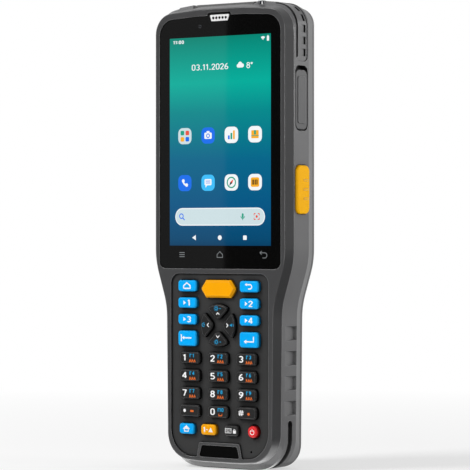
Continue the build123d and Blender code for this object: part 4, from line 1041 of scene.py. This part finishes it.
# Photo camera.
x, z = column_xs[1], row_zs[0]
ink = bmesh.new()
tile(ink, (x, z - 0.1), 3.8, 2.6, 0.5)
tile(ink, (x, z + 1.4), 1.5, 0.9, 0.2)
show("camera_picture", "white", ink, layer=2)
ink = bmesh.new()
arc(ink, (x, z - 0.1), 0.75, 0.4, 0, 360)
show("camera_picture_lens", "blue", ink, layer=3)
# Bar chart.
x, z = column_xs[2], row_zs[0]
for index, (colour, height) in enumerate((("blue", 1.6), ("teal", 2.6), ("amber", 3.6))):
    ink = bmesh.new()
    tile(ink, (x - 1.3 + 1.3 * index, z - 1.8 + height / 2), 0.9, height, 0.15)
    show(f"chart_bar_{colour}", colour, ink, layer=2)
# Parcel.
x, z = column_xs[3], row_zs[0]
ink = bmesh.new()
tile(ink, (x, z), 3.7, 3.3, 0.3)
show("parcel", "amber", ink, layer=2)
ink = bmesh.new()
tile(ink, (x, z + 0.75), 1.0, 1.8, 0.1)
bar(ink, (x - 1.8, z - 0.6), (x + 1.8, z - 0.6), 0.3)
show("parcel_tape", "teal", ink, layer=3)
# Telephone handset.
x, z = column_xs[0] + 1.3, row_zs[1] + 1.3
ink = bmesh.new()
arc(ink, (x, z), 2.3, 0.75, 190, 70)
for turn in (190, 260):
    dot(ink, (x + 2.15 * cos(radians(turn)), z + 2.15 * sin(radians(turn))), 0.72)
show("handset", "white", ink, layer=2)
# Message.
x, z = column_xs[1], row_zs[1]
ink = bmesh.new()
tile(ink, (x, z + 0.25), 3.6, 2.6, 0.5)
blade(ink, (x - 1.3, z - 0.9), (x - 0.2, z - 0.9), (x - 1.3, z - 2.0))
show("message", "white", ink, layer=2)
ink = bmesh.new()
for step in (-0.35, 0.45):
    bar(ink, (x - 1.1, z + 0.25 + step), (x + 1.1, z + 0.25 + step), 0.28)
show("message_lines", "blue", ink, layer=3)
# Compass.
x, z = column_xs[2], row_zs[1]
ink = bmesh.new()
arc(ink, (x, z), 2.1, 0.55, 0, 360)
show("compass_ring", "teal", ink, layer=2)
for name, colour, way in (("compass_north", "coral", 1), ("compass_south", "black", -1)):
    ink = bmesh.new()
    blade(ink, (x - 0.5, z + 0.25), (x + 0.5, z - 0.25), (x + 1.1 * way, z + 1.4 * way))
    show(name, colour, ink, layer=2)
# Bar code.
x, z = column_xs[3], row_zs[1]
ink = bmesh.new()
tile(ink, (x, z), 4.2, 3.9, 0.7)
show("code_ground", "amber", ink, layer=2)
ink = bmesh.new()
for step, width in ((-1.4, 0.3), (-0.8, 0.5), (-0.1, 0.25), (0.5, 0.55), (1.2, 0.3)):
    bar(ink, (x + step, z - 0.95), (x + step, z + 0.95), width)
show("code_bars", "black", ink, layer=3)

# Search field with a magnifier, a microphone and a viewfinder.
field_z = 104.15
ink = bmesh.new()
tile(ink, (0, field_z), 46.0, 7.3, 3.6)
show("search_rim", "white", ink)
ink = bmesh.new()
tile(ink, (0, field_z), 45.2, 6.5, 3.2)
show("search_field", "pale", ink, layer=2)
ink = bmesh.new()
arc(ink, (-19.8, field_z + 0.3), 0.95, 0.4, 0, 360)
bar(ink, (-19.1, field_z - 0.4), (-18.2, field_z - 1.3), 0.42)
show("search_magnifier", "blue", ink, layer=3)
microphone_x = 11.8
ink = bmesh.new()
tile(ink, (microphone_x, field_z + 0.4), 0.9, 1.9, 0.42)
arc(ink, (microphone_x, field_z + 0.2), 0.95, 0.3, 180, 180)
bar(ink, (microphone_x, field_z - 0.9), (microphone_x, field_z - 1.4), 0.3)
show("search_microphone", "teal", ink, layer=3)
finder_x = 18.85
ink = bmesh.new()
for right in (1, -1):
    for up in (1, -1):
        x, z = finder_x + 1.3 * right, field_z + 1.2 * up
        line(ink, [(x - 0.7 * right, z), (x, z), (x, z - 0.7 * up)], 0.35)
dot(ink, (finder_x, field_z), 0.55)
show("search_viewfinder", "coral", ink, layer=3)

# Touch signs printed on the black border under the display: menu, home and back.
touch_z = 88.45
touch_stroke = 0.26
ink = bmesh.new()
for step in (-0.85, 0, 0.85):
    bar(ink, (-20.8, touch_z + step), (-18.2, touch_z + step), 0.28)
house = [(-1.3, -1.1), (1.5, -1.1), (1.5, 0.1), (0.1, 1.3), (-1.3, 0.1), (-1.3, -1.1)]
line(ink, [(x, touch_z + up) for x, up in house], touch_stroke)
bar(ink, (20.6, touch_z + 0.9), (22.9, touch_z + 0.9), touch_stroke)
arc(ink, (22.9, touch_z - 0.15), 1.05, touch_stroke, 90, -180)
bar(ink, (22.9, touch_z - 1.2), (21.8, touch_z - 1.2), touch_stroke)
line(ink, [(21.3, touch_z + 1.6), (20.5, touch_z + 0.9), (21.3, touch_z + 0.2)], touch_stroke)
show("touch_signs", "grey", ink)

# ---- Front camera and receiver ----
# The camera looks through a clear hole in the printed border. The receiver is a bright pressed
# plate in a tab of the glass, with black discs on its face over its five holes: the black of the
# gauze behind them together with painted shade in the holes.

lens_glass, lens_tree, lens_shader = new_material("lens_glass")
lens_place = lens_tree.nodes.new("ShaderNodeTexCoord")
lens_haze = add_node(lens_tree, "ShaderNodeTexNoise", Scale=900.0, Detail=2.0)
lens_tree.links.new(lens_place.outputs["Object"], lens_haze.inputs["Vector"])
lens_tint = lens_tree.nodes.new("ShaderNodeValToRGB")
lens_tint.color_ramp.elements[0].color = tone(6, 8, 14)
lens_tint.color_ramp.elements[1].color = tone(20, 26, 40)
lens_tree.links.new(lens_haze.outputs["Fac"], lens_tint.inputs["Fac"])
lens_tree.links.new(lens_tint.outputs["Color"], lens_shader.inputs["Base Color"])
set_inputs(lens_shader, Roughness=0.06, Coat_Weight=0.6)
dress(lens_glass, "front_camera", "status_lens")

# A grey ring laid on the glass round the front camera: a painted highlight of its lens.
camera_ring_highlight = moulded(
    "camera_ring_highlight", (52, 54, 58), (80, 82, 86), 0.3, grain_depth=0.05, painted_shade=0
)
ring_x = -10.1
ring_z = 183.0
ink = bmesh.new()
arc(ink, (ring_x, ring_z), 0.55, 0.35, 0, 360)
print_on("front_camera_ring", ink, 0, glass_y, 0, "housing", camera_ring_highlight)

bright_plate = moulded(
    "bright_plate", (236, 236, 236), (255, 255, 255), 0.3, grain_depth=0.05, painted_shade=0
)
dress(bright_plate, "receiver_grille")
# Black discs on the face of the plate over its holes: gauze colour and painted shade in the holes.
gauze_and_hole_shade = moulded(
    "gauze_and_hole_shade", (4, 4, 4), (20, 20, 20), 0.8, grain_scale=9000.0, grain_depth=0.6, specular=0.05
)
grille_low, grille_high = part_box("receiver_grille")
grille_z = (grille_low.z + grille_high.z) / 2
gauze_pitch = 1.6
gauze_radius = 0.56
ink = bmesh.new()
for index in range(5):
    dot(ink, ((index - 2) * gauze_pitch, 0), gauze_radius)
print_on(
    "receiver_gauze_and_shade", ink, 0, grille_low.y, grille_z, "housing", gauze_and_hole_shade
)

# ---- Scan window, rear camera and loudspeaker ----
# The scanner looks out through a dark red-black filter in the top end. The rear camera sits
# behind a black window beside the loudspeaker, and both are fixed from inside.

scan_filter = moulded(
    "scan_filter", (22, 19, 20), (70, 66, 66), 0.12, grain_depth=0.02, specular=0.2, painted_shade=0.1
)
dress(scan_filter, "scan_window")
camera_cover = moulded("camera_cover", (7, 7, 9), (40, 40, 44), 0.08, grain_depth=0.01, painted_shade=0.1)
dress(camera_cover, "rear_camera_window")
speaker_black = moulded("speaker_black", (16, 16, 16), (40, 40, 40), 0.6)
dress(speaker_black, "rear_camera_module", "loudspeaker", "trigger_switches")

# The lens and the flash lie on the camera window, equally far from its middle.
window_low, window_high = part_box("rear_camera_window")
module_low, module_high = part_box("rear_camera_module")
module_x = (module_low.x + module_high.x) / 2
module_z = (module_low.z + module_high.z) / 2
flash_x = window_low.x + window_high.x - module_x
turned_back = Matrix.Rotation(-pi / 2, 4, "X")


def fix_on_window(name, shape, x, material):
    """Lays a shape made flat on the camera window, facing backwards."""
    place = Matrix.Translation((x, window_high.y, module_z)) @ turned_back
    bmesh.ops.transform(shape, matrix=place, verts=shape.verts)
    piece = make_piece(name, shape)
    piece.data.materials.append(material)
    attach(piece, "housing")


# Ring turned from rod, with the edges of its outer face rounded.
ring_inner, ring_outer, ring_depth = 2.1 * mm, 2.7 * mm, 0.12 * mm
ring_profile = [(ring_inner, 0), (ring_inner, ring_depth)]
ring_profile += [(ring_outer, ring_depth), (ring_outer, 0)]
shape = bmesh.new()
corners = [shape.verts.new((reach, 0, height)) for reach, height in ring_profile]
profile = [shape.edges.new(pair) for pair in zip(corners, corners[1:])]
bmesh.ops.spin(
    shape,
    geom=corners + profile,
    cent=(0, 0, 0),
    axis=(0, 0, 1),
    angle=2 * pi,
    steps=40,
    use_merge=True,
)
tiny = 1e-7
rim = []
for edge in shape.edges:
    first, second = (vert.co for vert in edge.verts)
    on_face = abs(first.z - ring_depth) < tiny and abs(second.z - ring_depth) < tiny
    if on_face and abs(first.xy.length - second.xy.length) < tiny:
        rim.append(edge)
bmesh.ops.bevel(
    shape,
    geom=rim,
    offset=0.3 * ring_depth,
    segments=2,
    profile=0.5,
    affect="EDGES",
    material=-1,
)
ring_metal = metal("lens_ring_metal", (120, 122, 126), (80, 82, 86), 0.25)
fix_on_window("rear_lens_ring", shape, module_x, ring_metal)

# Lens and flash diffuser, each a disc with a shallow stepped dish.
flash_diffuser = moulded(
    "flash_diffuser", (226, 214, 150), (250, 244, 200), 0.3, grain_depth=0.4, painted_shade=0
)
disc_depth = 0.05 * mm
dish_step = 0.02 * mm
for name, x, radius, material, slot in (
    ("rear_lens", module_x, 1.6 * mm, lens_glass, "lens"),
    ("rear_flash", flash_x, 1.5 * mm, flash_diffuser, "silver"),
):
    shape = bmesh.new()
    bmesh.ops.create_circle(shape, cap_ends=True, segments=32, radius=radius)
    for step, depth in ((0.35, 0), (0.3, dish_step)):
        middle_face = max(shape.faces, key=lambda face: face.calc_area())
        bmesh.ops.inset_region(shape, faces=[middle_face], thickness=step * radius, depth=depth)
    walls = bmesh.ops.extrude_face_region(shape, geom=shape.faces[:])["geom"]
    raised = [part for part in walls if isinstance(part, bmesh.types.BMVert)]
    bmesh.ops.translate(shape, vec=(0, 0, disc_depth), verts=raised)
    fix_on_window(name, shape, x, material)

# ---- Side triggers ----
# Orange buttons with a soft skin that stand proud of both sides, with three grip ribs each.
# They press a switch inside and slide in an opening of the rear housing.

trigger_orange = moulded(
    "trigger_orange",
    (255, 186, 12),
    (255, 232, 150),
    0.42,
    grain_depth=0.15,
    specular=0.05,
    edge=0.0003,
    painted_shade=0.25,
)
dress(trigger_orange, "side_trigger_right", "side_trigger_left")
